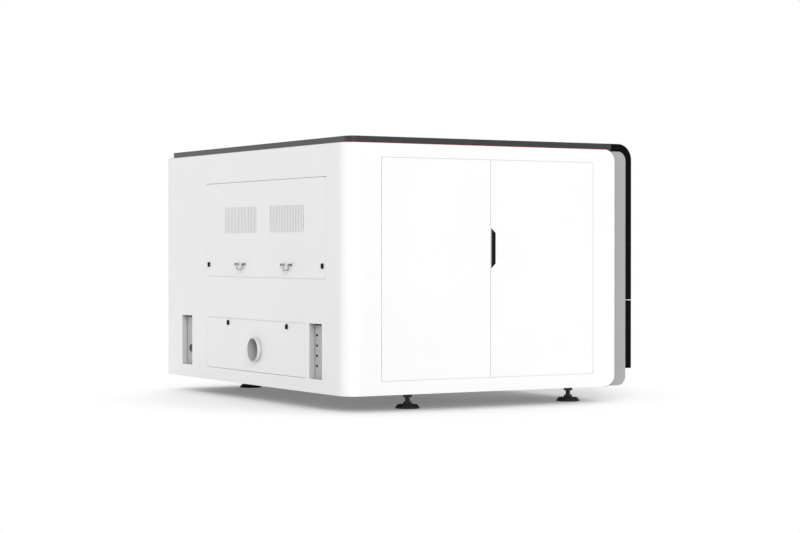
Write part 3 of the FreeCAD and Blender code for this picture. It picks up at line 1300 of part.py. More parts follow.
def laser_source():
    """Laser source on the lower shelf, with two grips on its face."""
    wide, long, tall = SOURCE
    x1 = RACK_X1 - SOURCE_IN
    x0, s0 = x1 - wide, RACK_S1 - SOURCE_FRONT - long
    z0, z1 = SHELF_LOW, SHELF_LOW + tall
    source = beam(x0, x1, s0, s0 + long, z0, z1)
    source = source.makeFillet(SOURCE_R, upright_edges(source, tall))
    out = x0 - SOURCE_GRIP_OUT
    for s in (s0 + SOURCE_GRIP_IN, s0 + long - SOURCE_GRIP_IN):
        y = depth(s)
        low, high = z0 + SOURCE_GRIP_UP, z1 - SOURCE_GRIP_UP
        posts = [rod(Vector(out, y, z), Vector(x0 + CUT, y, z), SOURCE_POST_R)
                 for z in (low + 2 * SOURCE_POST_R, high - 2 * SOURCE_POST_R)]
        source = source.fuse([rod(Vector(out, y, low), Vector(out, y, high), SOURCE_GRIP_R), *posts])
    write("laser_source", tidy(source))


def servo_drives():
    """Row of finned drives on the mounting plate."""
    deep, broad, high = DRIVE
    face = RACK_X1 - RACK_BACK - SHEET
    front, z0 = face - deep, SHELF_HIGH + DRIVE_UP
    drives = []
    for i in range(DRIVES):
        s = RACK_S0 + DRIVE_REAR + i * (broad + DRIVE_GAP)
        starts = [s + FIN_IN + j * FIN_PITCH for j in range(FINS)]
        grooves = [beam(front - CUT, front + FIN_W, g, g + FIN_W, z0 + FIN_END, z0 + high - FIN_END)
                   for g in starts]
        drives.append(beam(front, face, s, s + broad, z0, z0 + high).cut(Part.makeCompound(grooves)))
    write("servo_drives", *drives)


def fan_places():
    """Fan axes, behind the middle of each vent."""
    return [(-HALF_W + a, VENT_Z + VENT_H / 2) for a in VENT_A]


def chiller():
    """Cooling unit behind the vents, on its own legs, with two fan wells."""
    x0, x1 = UPPER_X - CHILLER_W / 2, UPPER_X + CHILLER_W / 2
    s0, s1 = CHILLER_BACK, CHILLER_BACK + CHILLER_D
    body = beam(x0, x1, s0, s1, CHILLER_Z, CHILLER_Z + CHILLER_H)
    body = body.makeFillet(CHILLER_R, upright_edges(body, CHILLER_H))
    legs = []
    leg, bar = CHILLER_LEG, FLOOR_Z + CHILLER_BAR_UP
    front = s1 - CHILLER_LEG / 2
    for x in (x0 + CHILLER_LEG_IN, x1 - CHILLER_LEG_IN - leg):
        legs.append(beam(x, x + leg, front - leg, front, bar, CHILLER_Z))
        legs.append(beam(x, x + leg, s0, s0 + CHILLER_REAR_LEG, FLOOR_Z, CHILLER_Z))
        legs.append(beam(x, x + leg, s0, front, bar, bar + CHILLER_BAR))
    wells, shafts = [], []
    for x, z in fan_places():
        floor = Vector(x, depth(s0 + FAN_DEPTH), z)
        wells.append(rod(Vector(x, depth(s0 - CUT), z), floor, FAN_R + FAN_WELL))
        shafts.append(rod(floor, Vector(x, depth(s0 + FAN_MOTOR_IN), z), FAN_MOTOR_R))
        shafts.append(rod(floor, Vector(x, depth(s0 + FAN_SHAFT_IN), z), FAN_SHAFT_R))
    write("chiller", tidy(body.fuse(legs).cut(Part.makeCompound(wells)).fuse(shafts)))


def fan(x, z):
    """Rotor with a bored hub and pitched blades."""
    s0 = CHILLER_BACK + FAN_IN
    s1 = s0 + FAN_HUB_L
    rotor = rod(Vector(x, depth(s0), z), Vector(x, depth(s1), z), FAN_HUB_R)
    for i in range(FAN_BLADES):
        blade = box(-FAN_BLADE_T / 2, FAN_BLADE_T / 2, -FAN_CHORD, FAN_CHORD, FAN_HUB_R - FAN_BLADE_T, FAN_R)
        blade.rotate(Vector(0, 0, 0), Vector(0, 0, 1), FAN_PITCH)
        blade.rotate(Vector(0, 0, 0), Vector(0, 1, 0), i * 360 / FAN_BLADES)
        blade.translate(Vector(x, depth((s0 + s1) / 2), z))
        rotor = rotor.fuse(blade)
    bore = rod(Vector(x, depth(s0 - CUT), z), Vector(x, depth(s1 + CUT), z), FAN_SHAFT_R + RUN)
    return rotor.cut(bore)


def fans():
    """The two cooling fans."""
    for name, (x, z) in zip(("fan_left", "fan_right"), fan_places()):
        write(name, fan(x, z))


def main():
    """Builds every sub-part."""
    os.makedirs("parts", exist_ok=True)
    ring_shell = full_shell()
    side_shells(ring_shell)
    rear_shell(ring_shell)
    accent_trim()
    roof_cap()
    cable_recess()
    inlet_recess()
    side_doors()
    upper_cover()
    lower_cover()
    latches()
    bails()
    hinge_pins()
    hood()
    front_frame()
    lower_fascia()
    console()
    scrap_drawer()
    feet()
    base_frame()
    partitions()
    bed_frame()
    guideways()
    gantry_beam()
    carriage()
    head()
    table()
    equipment_rack()
    laser_source()
    servo_drives()
    chiller()
    fans()


main()
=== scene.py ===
import json
import math
import bmesh
import bpy
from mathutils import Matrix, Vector

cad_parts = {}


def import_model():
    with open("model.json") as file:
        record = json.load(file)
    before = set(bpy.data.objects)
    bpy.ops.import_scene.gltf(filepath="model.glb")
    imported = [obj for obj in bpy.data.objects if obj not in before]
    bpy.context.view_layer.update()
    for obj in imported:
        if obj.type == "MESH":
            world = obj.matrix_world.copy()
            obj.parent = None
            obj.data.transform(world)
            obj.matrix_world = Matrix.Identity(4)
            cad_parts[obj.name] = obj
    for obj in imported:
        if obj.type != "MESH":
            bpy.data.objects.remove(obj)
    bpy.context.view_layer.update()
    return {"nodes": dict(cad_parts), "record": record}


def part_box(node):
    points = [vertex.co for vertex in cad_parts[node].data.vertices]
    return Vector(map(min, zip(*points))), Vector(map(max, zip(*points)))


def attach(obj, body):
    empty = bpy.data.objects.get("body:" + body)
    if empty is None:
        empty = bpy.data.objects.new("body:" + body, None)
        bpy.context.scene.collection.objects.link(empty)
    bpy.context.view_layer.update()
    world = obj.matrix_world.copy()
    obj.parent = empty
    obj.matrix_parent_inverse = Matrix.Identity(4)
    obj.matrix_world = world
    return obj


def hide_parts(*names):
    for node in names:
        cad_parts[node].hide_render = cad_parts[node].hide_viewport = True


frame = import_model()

# Enclosed fiber laser cutting machine: camera, light, materials and fine pieces round the CAD frame.
NODES = frame["nodes"]
MM = 0.001


def node_body(name):
    """Body that a CAD node rides on."""
    for body, members in frame["record"]["behaviour"]["bodies"].items():
        if name in members:
            return body


SLOT_OF = {part["node"]: part["material_slot"] for part in frame["record"]["subparts"]}
PAINT_OF = {**SLOT_OF, "exhaust_spigot": "galvanised", "door_pull": "pull_black",
            "power_inlet": "louvre_grey", "handle_brackets": "bracket_grey",
            "bail_handle_left": "bail_grey", "bail_handle_right": "bail_grey"}

# Camera, at the photograph's viewpoint
CAMERA_PLACE = (-12.443, 7.179, 1.030)   # metres
CAMERA_HEADING = (0.8634, -0.5045)
CAMERA_PITCH = -0.47         # degrees
CAMERA_LENS = 90.6           # mm, as the sensor
CAMERA_SENSOR = 36.0
CAMERA_REACH = 200.0         # metres


def camera():
    """Long-lens camera behind the machine's left rear corner."""
    data = bpy.data.cameras.new("camera")
    data.lens = CAMERA_LENS
    data.sensor_width = CAMERA_SENSOR
    data.clip_end = CAMERA_REACH
    obj = bpy.data.objects.new("camera", data)
    bpy.context.scene.collection.objects.link(obj)
    tilt = math.radians(CAMERA_PITCH)
    aim = Vector((CAMERA_HEADING[0] * math.cos(tilt), CAMERA_HEADING[1] * math.cos(tilt), math.sin(tilt)))
    obj.location = CAMERA_PLACE
    obj.rotation_mode = "QUATERNION"
    obj.rotation_quaternion = aim.to_track_quat("-Z", "Y")
    bpy.context.scene.camera = obj


# Light and stage. A lamp has the direction it comes from, its level and its width in degrees
WORLD_LEVEL = 0.55           # strength that lights the object
LAMPS = {"key_lamp": ((-0.80, 0.40, 0.44), 0.525, 34), "fill_lamp": ((0.55, -0.67, 0.50), 0.42, 60)}
LAMP_FAR = 10
SEEN_BY = ("Is Camera Ray", "Is Glossy Ray", "Is Transmission Ray")
FLOOR_GLOW = 0.195           # share of plain white in the floor near the machine
GLOW_NEAR, GLOW_FAR = 1.3, 2.2   # the floor fades to white between these distances from the middle
FLOOR_R = 60.0
FLOOR_SIDES = 96
FLOOR_DROP = 0.0005          # floor below the feet
FLOOR_PALE = 0.93
FLOOR_ROUGH = 0.9


def any_ray(tree, *kinds):
    """Socket that is 1 for the named kinds of ray and 0 for others."""
    rays = tree.nodes.new("ShaderNodeLightPath")
    found = rays.outputs[kinds[0]]
    for kind in kinds[1:]:
        either = tree.nodes.new("ShaderNodeMath")
        either.operation = "MAXIMUM"
        tree.links.new(found, either.inputs[0])
        tree.links.new(rays.outputs[kind], either.inputs[1])
        found = either.outputs[0]
    return found


def world():
    """Even pale studio surround that the camera and reflections see as white."""
    surround = bpy.data.worlds.new("studio")
    surround.use_nodes = True
    tree = surround.node_tree
    back = tree.nodes["Background"]
    back.inputs["Color"].default_value = (1, 1, 1, 1)
    level = tree.nodes.new("ShaderNodeMapRange")
    level.inputs["To Min"].default_value = WORLD_LEVEL
    level.inputs["To Max"].default_value = 1.0
    tree.links.new(any_ray(tree, *SEEN_BY), level.inputs["Value"])
    tree.links.new(level.outputs["Result"], back.inputs["Strength"])
    bpy.context.scene.world = surround


def lamp(name, towards, level, softness):
    """Far soft lamp; its level is what a white surface facing it shows."""
    data = bpy.data.lights.new(name, "SUN")
    data.energy = level * math.pi
    data.angle = math.radians(softness)
    obj = bpy.data.objects.new(name, data)
    bpy.context.scene.collection.objects.link(obj)
    obj.location = Vector(towards) * LAMP_FAR
    obj.rotation_mode = "QUATERNION"
    obj.rotation_quaternion = (-Vector(towards)).to_track_quat("-Z", "Y")


def lamps():
    """Key lamp on the left side and rear, and a weaker one on the front and right."""
    for name, (towards, level, softness) in LAMPS.items():
        lamp(name, towards, level, softness)


def floor():
    """Pale round floor that keeps the machine's shadow and fades to white."""
    mesh = bpy.data.meshes.new("floor")
    work = bmesh.new()
    bmesh.ops.create_circle(work, cap_ends=True, radius=FLOOR_R, segments=FLOOR_SIDES)
    work.to_mesh(mesh)
    work.free()
    obj = bpy.data.objects.new("floor", mesh)
    bpy.context.scene.collection.objects.link(obj)
    obj.location = (0, 0, -FLOOR_DROP)
    paint = bpy.data.materials.new("floor")
    paint.use_nodes = True
    tree = paint.node_tree
    shader = tree.nodes["Principled BSDF"]
    shader.inputs["Base Color"].default_value = (FLOOR_PALE, FLOOR_PALE, FLOOR_PALE, 1)
    shader.inputs["Roughness"].default_value = FLOOR_ROUGH
    glow = tree.nodes.new("ShaderNodeEmission")
    far = tree.nodes.new("ShaderNodeNewGeometry")
    reach = tree.nodes.new("ShaderNodeVectorMath")
    reach.operation = "LENGTH"
    tree.links.new(far.outputs["Position"], reach.inputs[0])
    fade = tree.nodes.new("ShaderNodeMapRange")
    fade.interpolation_type = "SMOOTHSTEP"
    fade.inputs["From Min"].default_value = GLOW_NEAR
    fade.inputs["From Max"].default_value = GLOW_FAR
    fade.inputs["To Min"].default_value = FLOOR_GLOW
    tree.links.new(reach.outputs["Value"], fade.inputs["Value"])
    both = tree.nodes.new("ShaderNodeMath")
    both.operation = "MULTIPLY"
    tree.links.new(fade.outputs["Result"], both.inputs[0])
    tree.links.new(any_ray(tree, *SEEN_BY), both.inputs[1])
    mix = tree.nodes.new("ShaderNodeMixShader")
    tree.links.new(both.outputs[0], mix.inputs[0])
    tree.links.new(shader.outputs[0], mix.inputs[1])
    tree.links.new(glow.outputs[0], mix.inputs[2])
    tree.links.new(mix.outputs[0], tree.nodes["Material Output"].inputs["Surface"])
    mesh.materials.append(paint)


# Materials
SCREEN_GLOW = 0.6
ROOF_ROUGH = 0.85            # textured top of the roof
ACCENT_SHEEN_FADE = (1.09, 1.115)  # painted sheen: the red line pales on the rear face, between these places on Y in m
# paler colour of the red line's painted sheen on the rear face
ACCENT_SHEEN = (0.55, 0.42, 0.43)
COAT_ROUGH = 0.08
SLOW_DETAIL, FINE_DETAIL = 4.0, 3.0
TINT_DARK, TINT_LIGHT = 0.3, 0.7     # places on the noise that get the darker and the lighter tint
RELIEF = 0.001
GLASS_IOR = 1.49
GLASS_SPECULAR = 0.25
GLASS_GRAIN = (0.1, 2.0, (0.03, 0.06), 60, 0.002)    # as a row of PAINTS, after the colour
LIT_GRAIN = (0.03, 6.0, (0.1, 0.16), 500, 0.003)

# Paints: colour, its drift and the drift's scale, roughness from and to, and the grain's scale and bump
PAINTS = {
    "white_steel": ((0.86, 0.86, 0.855), 0.012, 1.5, (0.33, 0.42), 900, 0.05),
    "roof_black": ((0.01, 0.01, 0.011), 0.2, 2.0, (0.2, 0.26), 700, 0.02),
    "hood_black": ((0.0018, 0.0018, 0.002), 0.2, 2.0, (0.46, 0.56), 700, 0.03),
    "frame_grey": ((0.355, 0.355, 0.358), 0.02, 2.0, (0.42, 0.5), 800, 0.04),
    "recess_grey": ((0.485, 0.485, 0.49), 0.02, 3.0, (0.45, 0.55), 800, 0.04),
    "accent_red": ((0.62, 0.035, 0.06), 0.05, 8.0, (0.45, 0.55), 600, 0.02),
    "black_plastic": ((0.008, 0.008, 0.0085), 0.15, 20.0, (0.42, 0.55), 1500, 0.12),
    "foot_black": ((0.028, 0.028, 0.028), 0.2, 12.0, (0.6, 0.75), 500, 0.15),
    "zinc_steel": ((0.56, 0.57, 0.58), 0.06, 9.0, (0.26, 0.4), 500, 0.03),
    "frame_steel": ((0.14, 0.145, 0.15), 0.08, 5.0, (0.4, 0.55), 350, 0.2),
    "seal_pale": ((0.62, 0.62, 0.615), 0.03, 8.0, (0.55, 0.7), 600, 0.05),
    "pull_black": ((0.014, 0.014, 0.0145), 0.12, 20.0, (0.45, 0.55), 1500, 0.1),
    "galvanised": ((0.5, 0.5, 0.5), 0.05, 14.0, (0.38, 0.5), 500, 0.03),
    "bracket_grey": ((0.24, 0.24, 0.245), 0.05, 14.0, (0.38, 0.5), 500, 0.03),
    "bail_grey": ((0.4, 0.4, 0.405), 0.05, 14.0, (0.3, 0.42), 500, 0.03),
    "safety_yellow": ((0.8, 0.52, 0.03), 0.04, 20.0, (0.35, 0.45), 900, 0.03),
    "rubber": ((0.018, 0.018, 0.018), 0.15, 20.0, (0.65, 0.8), 900, 0.1),
    "louvre_grey": ((0.12, 0.122, 0.128), 0.06, 8.0, (0.4, 0.5), 900, 0.06),
    "module_white": ((0.55, 0.56, 0.56), 0.04, 16.0, (0.4, 0.5), 900, 0.05),
    "terminal_green": ((0.03, 0.22, 0.09), 0.08, 25.0, (0.4, 0.5), 900, 0.06),
    "liner_white": ((0.66, 0.66, 0.65), 0.03, 2.0, (0.4, 0.5), 700, 0.05),
    "rail_steel": ((0.63, 0.64, 0.65), 0.04, 6.0, (0.16, 0.26), 900, 0.02),
    "slat_steel": ((0.3, 0.27, 0.25), 0.25, 12.0, (0.4, 0.62), 240, 0.12),
    "gantry_aluminium": ((0.68, 0.69, 0.7), 0.03, 5.0, (0.28, 0.38), 700, 0.03),
    "head_dark": ((0.03, 0.03, 0.033), 0.1, 8.0, (0.3, 0.4), 900, 0.04),
    "copper": ((0.75, 0.38, 0.2), 0.08, 20.0, (0.2, 0.3), 900, 0.02),
    "screen_glass": ((0.01, 0.011, 0.014), 0.1, 4.0, (0.05, 0.09), 400, 0.004),
    "device_black": ((0.03, 0.03, 0.032), 0.1, 6.0, (0.45, 0.6), 900, 0.15),
    "device_grey": ((0.28, 0.29, 0.31), 0.05, 5.0, (0.4, 0.5), 900, 0.1),
    "button_red": ((0.55, 0.012, 0.012), 0.06, 30.0, (0.18, 0.28), 900, 0.02),
    "button_green": ((0.02, 0.3, 0.07), 0.06, 30.0, (0.18, 0.28), 900, 0.02),
}
FINISHES = {
    "roof_black": dict(specular=0.65),
    "hood_black": dict(specular=0.05),
    "accent_red": dict(specular=0.2),
    "black_plastic": dict(specular=0.18),
    "zinc_steel": dict(metal=1.0),
    "pull_black": dict(specular=0.25),
    "galvanised": dict(metal=0.15),
    "bracket_grey": dict(metal=0.3),
    "bail_grey": dict(metal=0.4),
    "rubber": dict(specular=0.3),
    "rail_steel": dict(metal=1.0, stretch=(1, 12, 1)),
    "slat_steel": dict(metal=0.8),
    "gantry_aluminium": dict(metal=1.0),
    "head_dark": dict(metal=0.6),
    "copper": dict(metal=1.0),
    "screen_glass": dict(coat=0.6),
}
# Glasses: colour, and share of light let through
GLASSES = {"sight_glass": ((0.5, 0.75, 0.7), 0.9), "window_tint": ((0.42, 0.17, 0.05), 0.94)}
LIT_FIELDS = {"screen_field": (0.016, 0.024, 0.036),
              "screen_tile": (0.06, 0.08, 0.105),
              "screen_line": (0.05, 0.42, 0.36)}


def grained(name, colour, shade, spread, rough, grain, bump, metal=0.0, stretch=(1, 1, 1), coat=0.0,
            specular=0.5):
    """Material with a slow drift in colour, fine grain in roughness and a bump from the same grain."""
    paint = bpy.data.materials.new(name)
    paint.use_nodes = True
    tree = paint.node_tree
    shader = tree.nodes["Principled BSDF"]
    shader.inputs["Metallic"].default_value = metal
    shader.inputs["Specular IOR Level"].default_value = specular
    shader.inputs["Coat Weight"].default_value = coat
    shader.inputs["Coat Roughness"].default_value = COAT_ROUGH
    where = tree.nodes.new("ShaderNodeTexCoord")
    scaled = tree.nodes.new("ShaderNodeMapping")
    scaled.inputs["Scale"].default_value = stretch
    tree.links.new(where.outputs["Object"], scaled.inputs["Vector"])
    slow = tree.nodes.new("ShaderNodeTexNoise")
    slow.inputs["Scale"].default_value = spread
    slow.inputs["Detail"].default_value = SLOW_DETAIL
    tree.links.new(scaled.outputs["Vector"], slow.inputs["Vector"])
    fine = tree.nodes.new("ShaderNodeTexNoise")
    fine.inputs["Scale"].default_value = grain
    fine.inputs["Detail"].default_value = FINE_DETAIL
    tree.links.new(scaled.outputs["Vector"], fine.inputs["Vector"])
    tint = tree.nodes.new("ShaderNodeValToRGB")
    dark = [c * (1 - shade) for c in colour]
    light = [min(1.0, c * (1 + shade)) for c in colour]
    tint.color_ramp.elements[0].position = TINT_DARK
    tint.color_ramp.elements[0].color = (*dark, 1)
    tint.color_ramp.elements[1].position = TINT_LIGHT
    tint.color_ramp.elements[1].color = (*light, 1)
    tree.links.new(slow.outputs["Fac"], tint.inputs["Fac"])
    tree.links.new(tint.outputs["Color"], shader.inputs["Base Color"])
    gloss = tree.nodes.new("ShaderNodeMapRange")
    gloss.inputs["To Min"].default_value = rough[0]
    gloss.inputs["To Max"].default_value = rough[1]
    tree.links.new(fine.outputs["Fac"], gloss.inputs["Value"])
    tree.links.new(gloss.outputs["Result"], shader.inputs["Roughness"])
    relief = tree.nodes.new("ShaderNodeBump")
    relief.inputs["Strength"].default_value = bump
    relief.inputs["Distance"].default_value = RELIEF
    tree.links.new(fine.outputs["Fac"], relief.inputs["Height"])
    tree.links.new(relief.outputs["Normal"], shader.inputs["Normal"])
    return paint


def glass(name, colour, depth):
    """Tinted window that lets some light through."""
    paint = grained(name, colour, *GLASS_GRAIN, specular=GLASS_SPECULAR)
    shader = paint.node_tree.nodes["Principled BSDF"]
    shader.inputs["Transmission Weight"].default_value = depth
    shader.inputs["IOR"].default_value = GLASS_IOR
    return paint


def painted_sheen_behind(paint, colour, fade):
    """Painted sheen: turns a material's colour to a paler one towards the rear face, between two places on Y.
    """
    tree = paint.node_tree
    where = tree.nodes.new("ShaderNodeSeparateXYZ")
    tree.links.new(tree.nodes["Texture Coordinate"].outputs["Object"], where.inputs[0])
    share = tree.nodes.new("ShaderNodeMapRange")
    share.inputs["From Min"].default_value, share.inputs["From Max"].default_value = fade
    tree.links.new(where.outputs["Y"], share.inputs["Value"])
    mix = tree.nodes.new("ShaderNodeMix")
    mix.data_type = "RGBA"
    tree.links.new(share.outputs["Result"], mix.inputs["Factor"])
    tree.links.new(tree.nodes["Color Ramp"].outputs["Color"], mix.inputs["A"])
    mix.inputs["B"].default_value = (*colour, 1)
    tree.links.new(mix.outputs["Result"], tree.nodes["Principled BSDF"].inputs["Base Color"])


def matt_above(paint, rough):
    """Makes a material's upward faces rougher than its edges."""
    tree = paint.node_tree
    up = tree.nodes.new("ShaderNodeSeparateXYZ")
    tree.links.new(tree.nodes["Texture Coordinate"].outputs["Normal"], up.inputs[0])
    mix = tree.nodes.new("ShaderNodeMix")
    tree.links.new(up.outputs["Z"], mix.inputs["Factor"])
    tree.links.new(tree.nodes["Map Range"].outputs["Result"], mix.inputs["A"])
    mix.inputs["B"].default_value = rough
    tree.links.new(mix.outputs["Result"], tree.nodes["Principled BSDF"].inputs["Roughness"])


def lit(name, colour):
    """Part of a display that glows a little in its own colour."""
    paint = grained(name, colour, *LIT_GRAIN)
    shader = paint.node_tree.nodes["Principled BSDF"]
    shader.inputs["Emission Color"].default_value = (*colour, 1)
    shader.inputs["Emission Strength"].default_value = SCREEN_GLOW
    return paint


def make_materials():
    """Materials of the record's slots, and of the finer pieces."""
    made = {name: grained(name, *row, **FINISHES.get(name, {})) for name, row in PAINTS.items()}
    made.update({name: glass(name, *row) for name, row in GLASSES.items()})
    made.update({name: lit(name, colour) for name, colour in LIT_FIELDS.items()})
    matt_above(made["roof_black"], ROOF_ROUGH)
    # painted sheen: the red line's colour turns paler on the rear face
    painted_sheen_behind(made["accent_red"], ACCENT_SHEEN, ACCENT_SHEEN_FADE)
    return made


MATERIALS = make_materials()


# Mesh tools
FRONT, REAR = (0, -1, 0), (0, 1, 0)      # ways out of the machine's faces
LEFT, UP = (-1, 0, 0), (0, 0, 1)
CORNER_STEPS = 6             # faces round a corner
WELD = 1e-6                  # points this near become one
CAD_WELD = 1e-5
FLAT_WITHIN = 0.6            # degrees between faces that count as one
ROUND_ABOVE = 32             # degrees between faces whose edge is rounded
ROUND_STEPS = 2
SKIN_ROUND = 1.2 * MM        # rounded edges of the CAD nodes
FINE_ROUND = 0.4 * MM        # rounded edges of small pieces
SHARP_ABOVE = 35             # degrees between faces whose edge isn't shaded smooth
THIN_RIMS = {"door_pull"}    # nodes whose hollow faces are cut up, so that none closes over the hollow
SCREW_HEAD = ((0, 0.2), (0.5, 0.2), (0.5, 0.7), (0.9, 0.7), (1, 0.595), (1, 0))  # shares of its radius


def in_mm(pairs):
    """Pairs of mm, in metres."""
    return [(a * MM, b * MM) for a, b in pairs]


def face_middle(name, depth):
    """Middle of a node's front view, at a depth."""
    low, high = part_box(name)
    return Vector(((low.x + high.x) / 2, depth, (low.z + high.z) / 2))


def face_half(name, rim):
    """Half width and half height of a node's front view, inside a rim."""
    low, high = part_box(name)
    return (high.x - low.x) / 2 - rim, (high.z - low.z) / 2 - rim


def spread(count, half):
    """Middles of equal steps across a width, measured from its middle."""
    return [half * (2 * (i + 0.5) / count - 1) for i in range(count)]


def slab(work, low, high):
    """Adds a block between two corners."""
    for vert in bmesh.ops.create_cube(work, size=1.0)["verts"]:
        vert.co = Vector((low[i] + (vert.co[i] + 0.5) * (high[i] - low[i]) for i in range(3)))


def block(work, place, low, high):
    """Adds a block between two corners, given in mm from a place."""
    slab(work, *(Vector(place) + Vector([value * MM for value in corner]) for corner in (low, high)))


def tube(work, rings):
    """Joins rings of points in turn, and closes both ends."""
    for one, two in zip(rings, rings[1:]):
        for i in range(len(one)):
            j = (i + 1) % len(one)
            work.faces.new((one[i], one[j], two[j], two[i]))
    for end in (rings[0], rings[-1]):
        work.faces.new(end)


def turned(work, profile, centre, axis, sides):
    """Adds a turned body from (radius, place along the axis) pairs. A radius of 0 closes an end."""
    turn = Vector(UP).rotation_difference(Vector(axis))
    rings = []
    for radius, place in profile:
        count = sides if radius else 1
        angles = [2 * math.pi * i / count for i in range(count)]
        points = [Vector((radius * math.cos(t), radius * math.sin(t), place)) for t in angles]
        rings.append([work.verts.new(Vector(centre) + turn @ point) for point in points])
    for one, two in zip(rings, rings[1:]):
        for i in range(sides):
            j = (i + 1) % sides
            corners = [one[i % len(one)], one[j % len(one)], two[j % len(two)], two[i % len(two)]]
            work.faces.new(list(dict.fromkeys(corners)))


def bar(work, start, end, radius, sides=16):
    """Adds a round bar between two points."""
    span = Vector(end) - Vector(start)
    turned(work, [(0, 0), (radius, 0), (radius, span.length), (0, span.length)], start, span, sides)


def hoop(work, centre, axis, radius, wire, sides, steps):
    """Adds a ring of round wire."""
    angles = [2 * math.pi * i / steps for i in range(steps + 1)]
    turned(work, [(radius + wire * math.cos(t), wire * math.sin(t)) for t in angles], centre, axis, sides)


def rounded_path(half_w, half_h, corner):
    """Points round a rounded rectangle, each with its outward direction."""
    path = []
    for quarter, (side_u, side_v) in enumerate(((1, 1), (-1, 1), (-1, -1), (1, -1))):
        for i in range(CORNER_STEPS + 1):
            turn = math.pi / 2 * (quarter + i / CORNER_STEPS)
            out = (math.cos(turn), math.sin(turn))
            path.append(((side_u * (half_w - corner) + corner * out[0],
                          side_v * (half_h - corner) + corner * out[1]), out))
    return path


def lip(work, centre, right, half, corner, profile):
    """Sweeps a closed profile round an upright rounded rectangle. Profile places are (outward, proud)."""
    right, up = Vector(right), Vector(UP)
    proud = right.cross(up)
    rings = []
    for (u, v), (nu, nv) in rounded_path(*half, corner):
        rings.append([work.verts.new(Vector(centre) + right * (u + nu * a) + up * (v + nv * a) + proud * b)
                      for a, b in profile])
    for one, two in zip(rings, rings[1:] + rings[:1]):
        for i in range(len(profile)):
            j = (i + 1) % len(profile)
            work.faces.new((one[i], one[j], two[j], two[i]))


def screws(name, places, axis, radius):
    """Socket screws whose heads stand on a face."""
    work = bmesh.new()
    for place in places:
        turned(work, [(r * radius, h * radius) for r, h in SCREW_HEAD], place, axis, sides=18)
    finished(name, work, "zinc_steel")


def finished(name, work, slot, paint=None, body="machine", bevel=0.0, crease=SHARP_ABOVE):
    """Turns a mesh in the making into a piece that rides on a body."""
    bmesh.ops.remove_doubles(work, verts=work.verts, dist=WELD)
    bmesh.ops.recalc_face_normals(work, faces=work.faces)
    mesh = bpy.data.meshes.new(name)
    work.to_mesh(mesh)
    work.free()
    for face in mesh.polygons:
        face.use_smooth = True
    mesh.set_sharp_from_angle(angle=math.radians(crease))
    obj = bpy.data.objects.new(name, mesh)
    bpy.context.scene.collection.objects.link(obj)
    if bevel:
        soften(obj, bevel)
    mesh.materials.append(MATERIALS[paint or slot])
    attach(obj, body)


def soften(obj, width):
    """Rounds an object's sharp edges and keeps its flats flat."""
    soft = obj.modifiers.new("edges", "BEVEL")
    soft.width = width
    soft.segments = ROUND_STEPS
    soft.limit_method = "ANGLE"
    soft.angle_limit = math.radians(ROUND_ABOVE)
    soft.use_clamp_overlap = True
    normals = obj.modifiers.new("normals", "WEIGHTED_NORMAL")
    normals.keep_sharp = True


def paint_nodes():
    """Gives every CAD node the material of its slot."""
    for name, obj in NODES.items():
        obj.data.materials.clear()
        obj.data.materials.append(MATERIALS[PAINT_OF[name]])


def refined(name):
    """Copy of a CAD node with softened edges and smooth shading, shown in its place."""
    mesh = NODES[name].data.copy()
    mesh.name = name + "_skin"
    work = bmesh.new()
    work.from_mesh(mesh)
    bmesh.ops.remove_doubles(work, verts=work.verts, dist=CAD_WELD)
    bmesh.ops.dissolve_limit(work, angle_limit=math.radians(FLAT_WITHIN), verts=work.verts, edges=work.edges)
    if name in THIN_RIMS:
        hollow = [face for face in work.faces if not all(loop.is_convex for loop in face.loops)]
        bmesh.ops.triangulate(work, faces=hollow)
    work.to_mesh(mesh)
    work.free()
    for face in mesh.polygons:
        face.use_smooth = True
    obj = bpy.data.objects.new(name + "_skin", mesh)
    bpy.context.scene.collection.objects.link(obj)
    soften(obj, SKIN_ROUND)
    mesh.materials.clear()
    mesh.materials.append(MATERIALS[PAINT_OF[name]])
    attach(obj, node_body(name))
    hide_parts(name)


# Seals in the level gaps
GAP = 3.5 * MM               # round the doors and covers
SEAL_IN = 1.0 * MM           # seal behind the outer face
SEAL_DEEP = 1.6 * MM
SEAL_PLAY = 0.4 * MM
SEAL_ROUND = 0.3 * MM
LIP_SEAL = 0.9 * MM          # seal on each side of a hinged gap
COVER_CORNER = 30 * MM


def gap_seals():
    """Pale seals that close the level gaps of the doors and covers."""
    rear_low, rear_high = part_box("door_rear_leaf")
    front_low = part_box("door_front_leaf")[0]
    work = bmesh.new()
    x0 = rear_low.x + SEAL_IN
    for z0, z1 in ((rear_high.z + SEAL_PLAY, rear_high.z + GAP), (rear_low.z - GAP, rear_low.z - SEAL_PLAY)):
        slab(work, (x0, front_low.y, z0), (x0 + SEAL_DEEP, rear_high.y, z1))
    finished("door_seals", work, "liner_white", "seal_pale", bevel=SEAL_ROUND)
    for cover, up, corner in (("upper_cover", -1, COVER_CORNER), ("lower_cover", 1, 0)):
        cover_seals(cover, up, corner)


def cover_seals(cover, up, corner):
    """Seals of one rear cover: a full one on its free side, and a narrow pair on its hinged side."""
    low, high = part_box(cover)
    y1 = high.y - SEAL_IN
    y0 = y1 - SEAL_DEEP
    free, hinged = (high.z, low.z) if up > 0 else (low.z, high.z)
    work = bmesh.new()
    slab(work, (low.x, y0, free + up * SEAL_PLAY), (high.x, y1, free + up * GAP))
    slab(work, (low.x + corner, y0, hinged - up * (GAP - LIP_SEAL)), (high.x - corner, y1, hinged - up * GAP))
    finished(cover + "_frame_seals", work, "liner_white", "seal_pale")
    work = bmesh.new()
    slab(work, (low.x + corner, y0, hinged), (high.x - corner, y1, hinged - up * LIP_SEAL))
    finished(cover + "_edge_seal", work, "liner_white", "seal_pale", body=cover)


# Fume spigot
COLLAR_L = 15 * MM
COLLAR_R = 82 * MM
COLLAR_BORE_R = 80.1 * MM
COLLAR_ROUND = 1.5 * MM
COLLAR_STEPS = 4             # faces round its edges


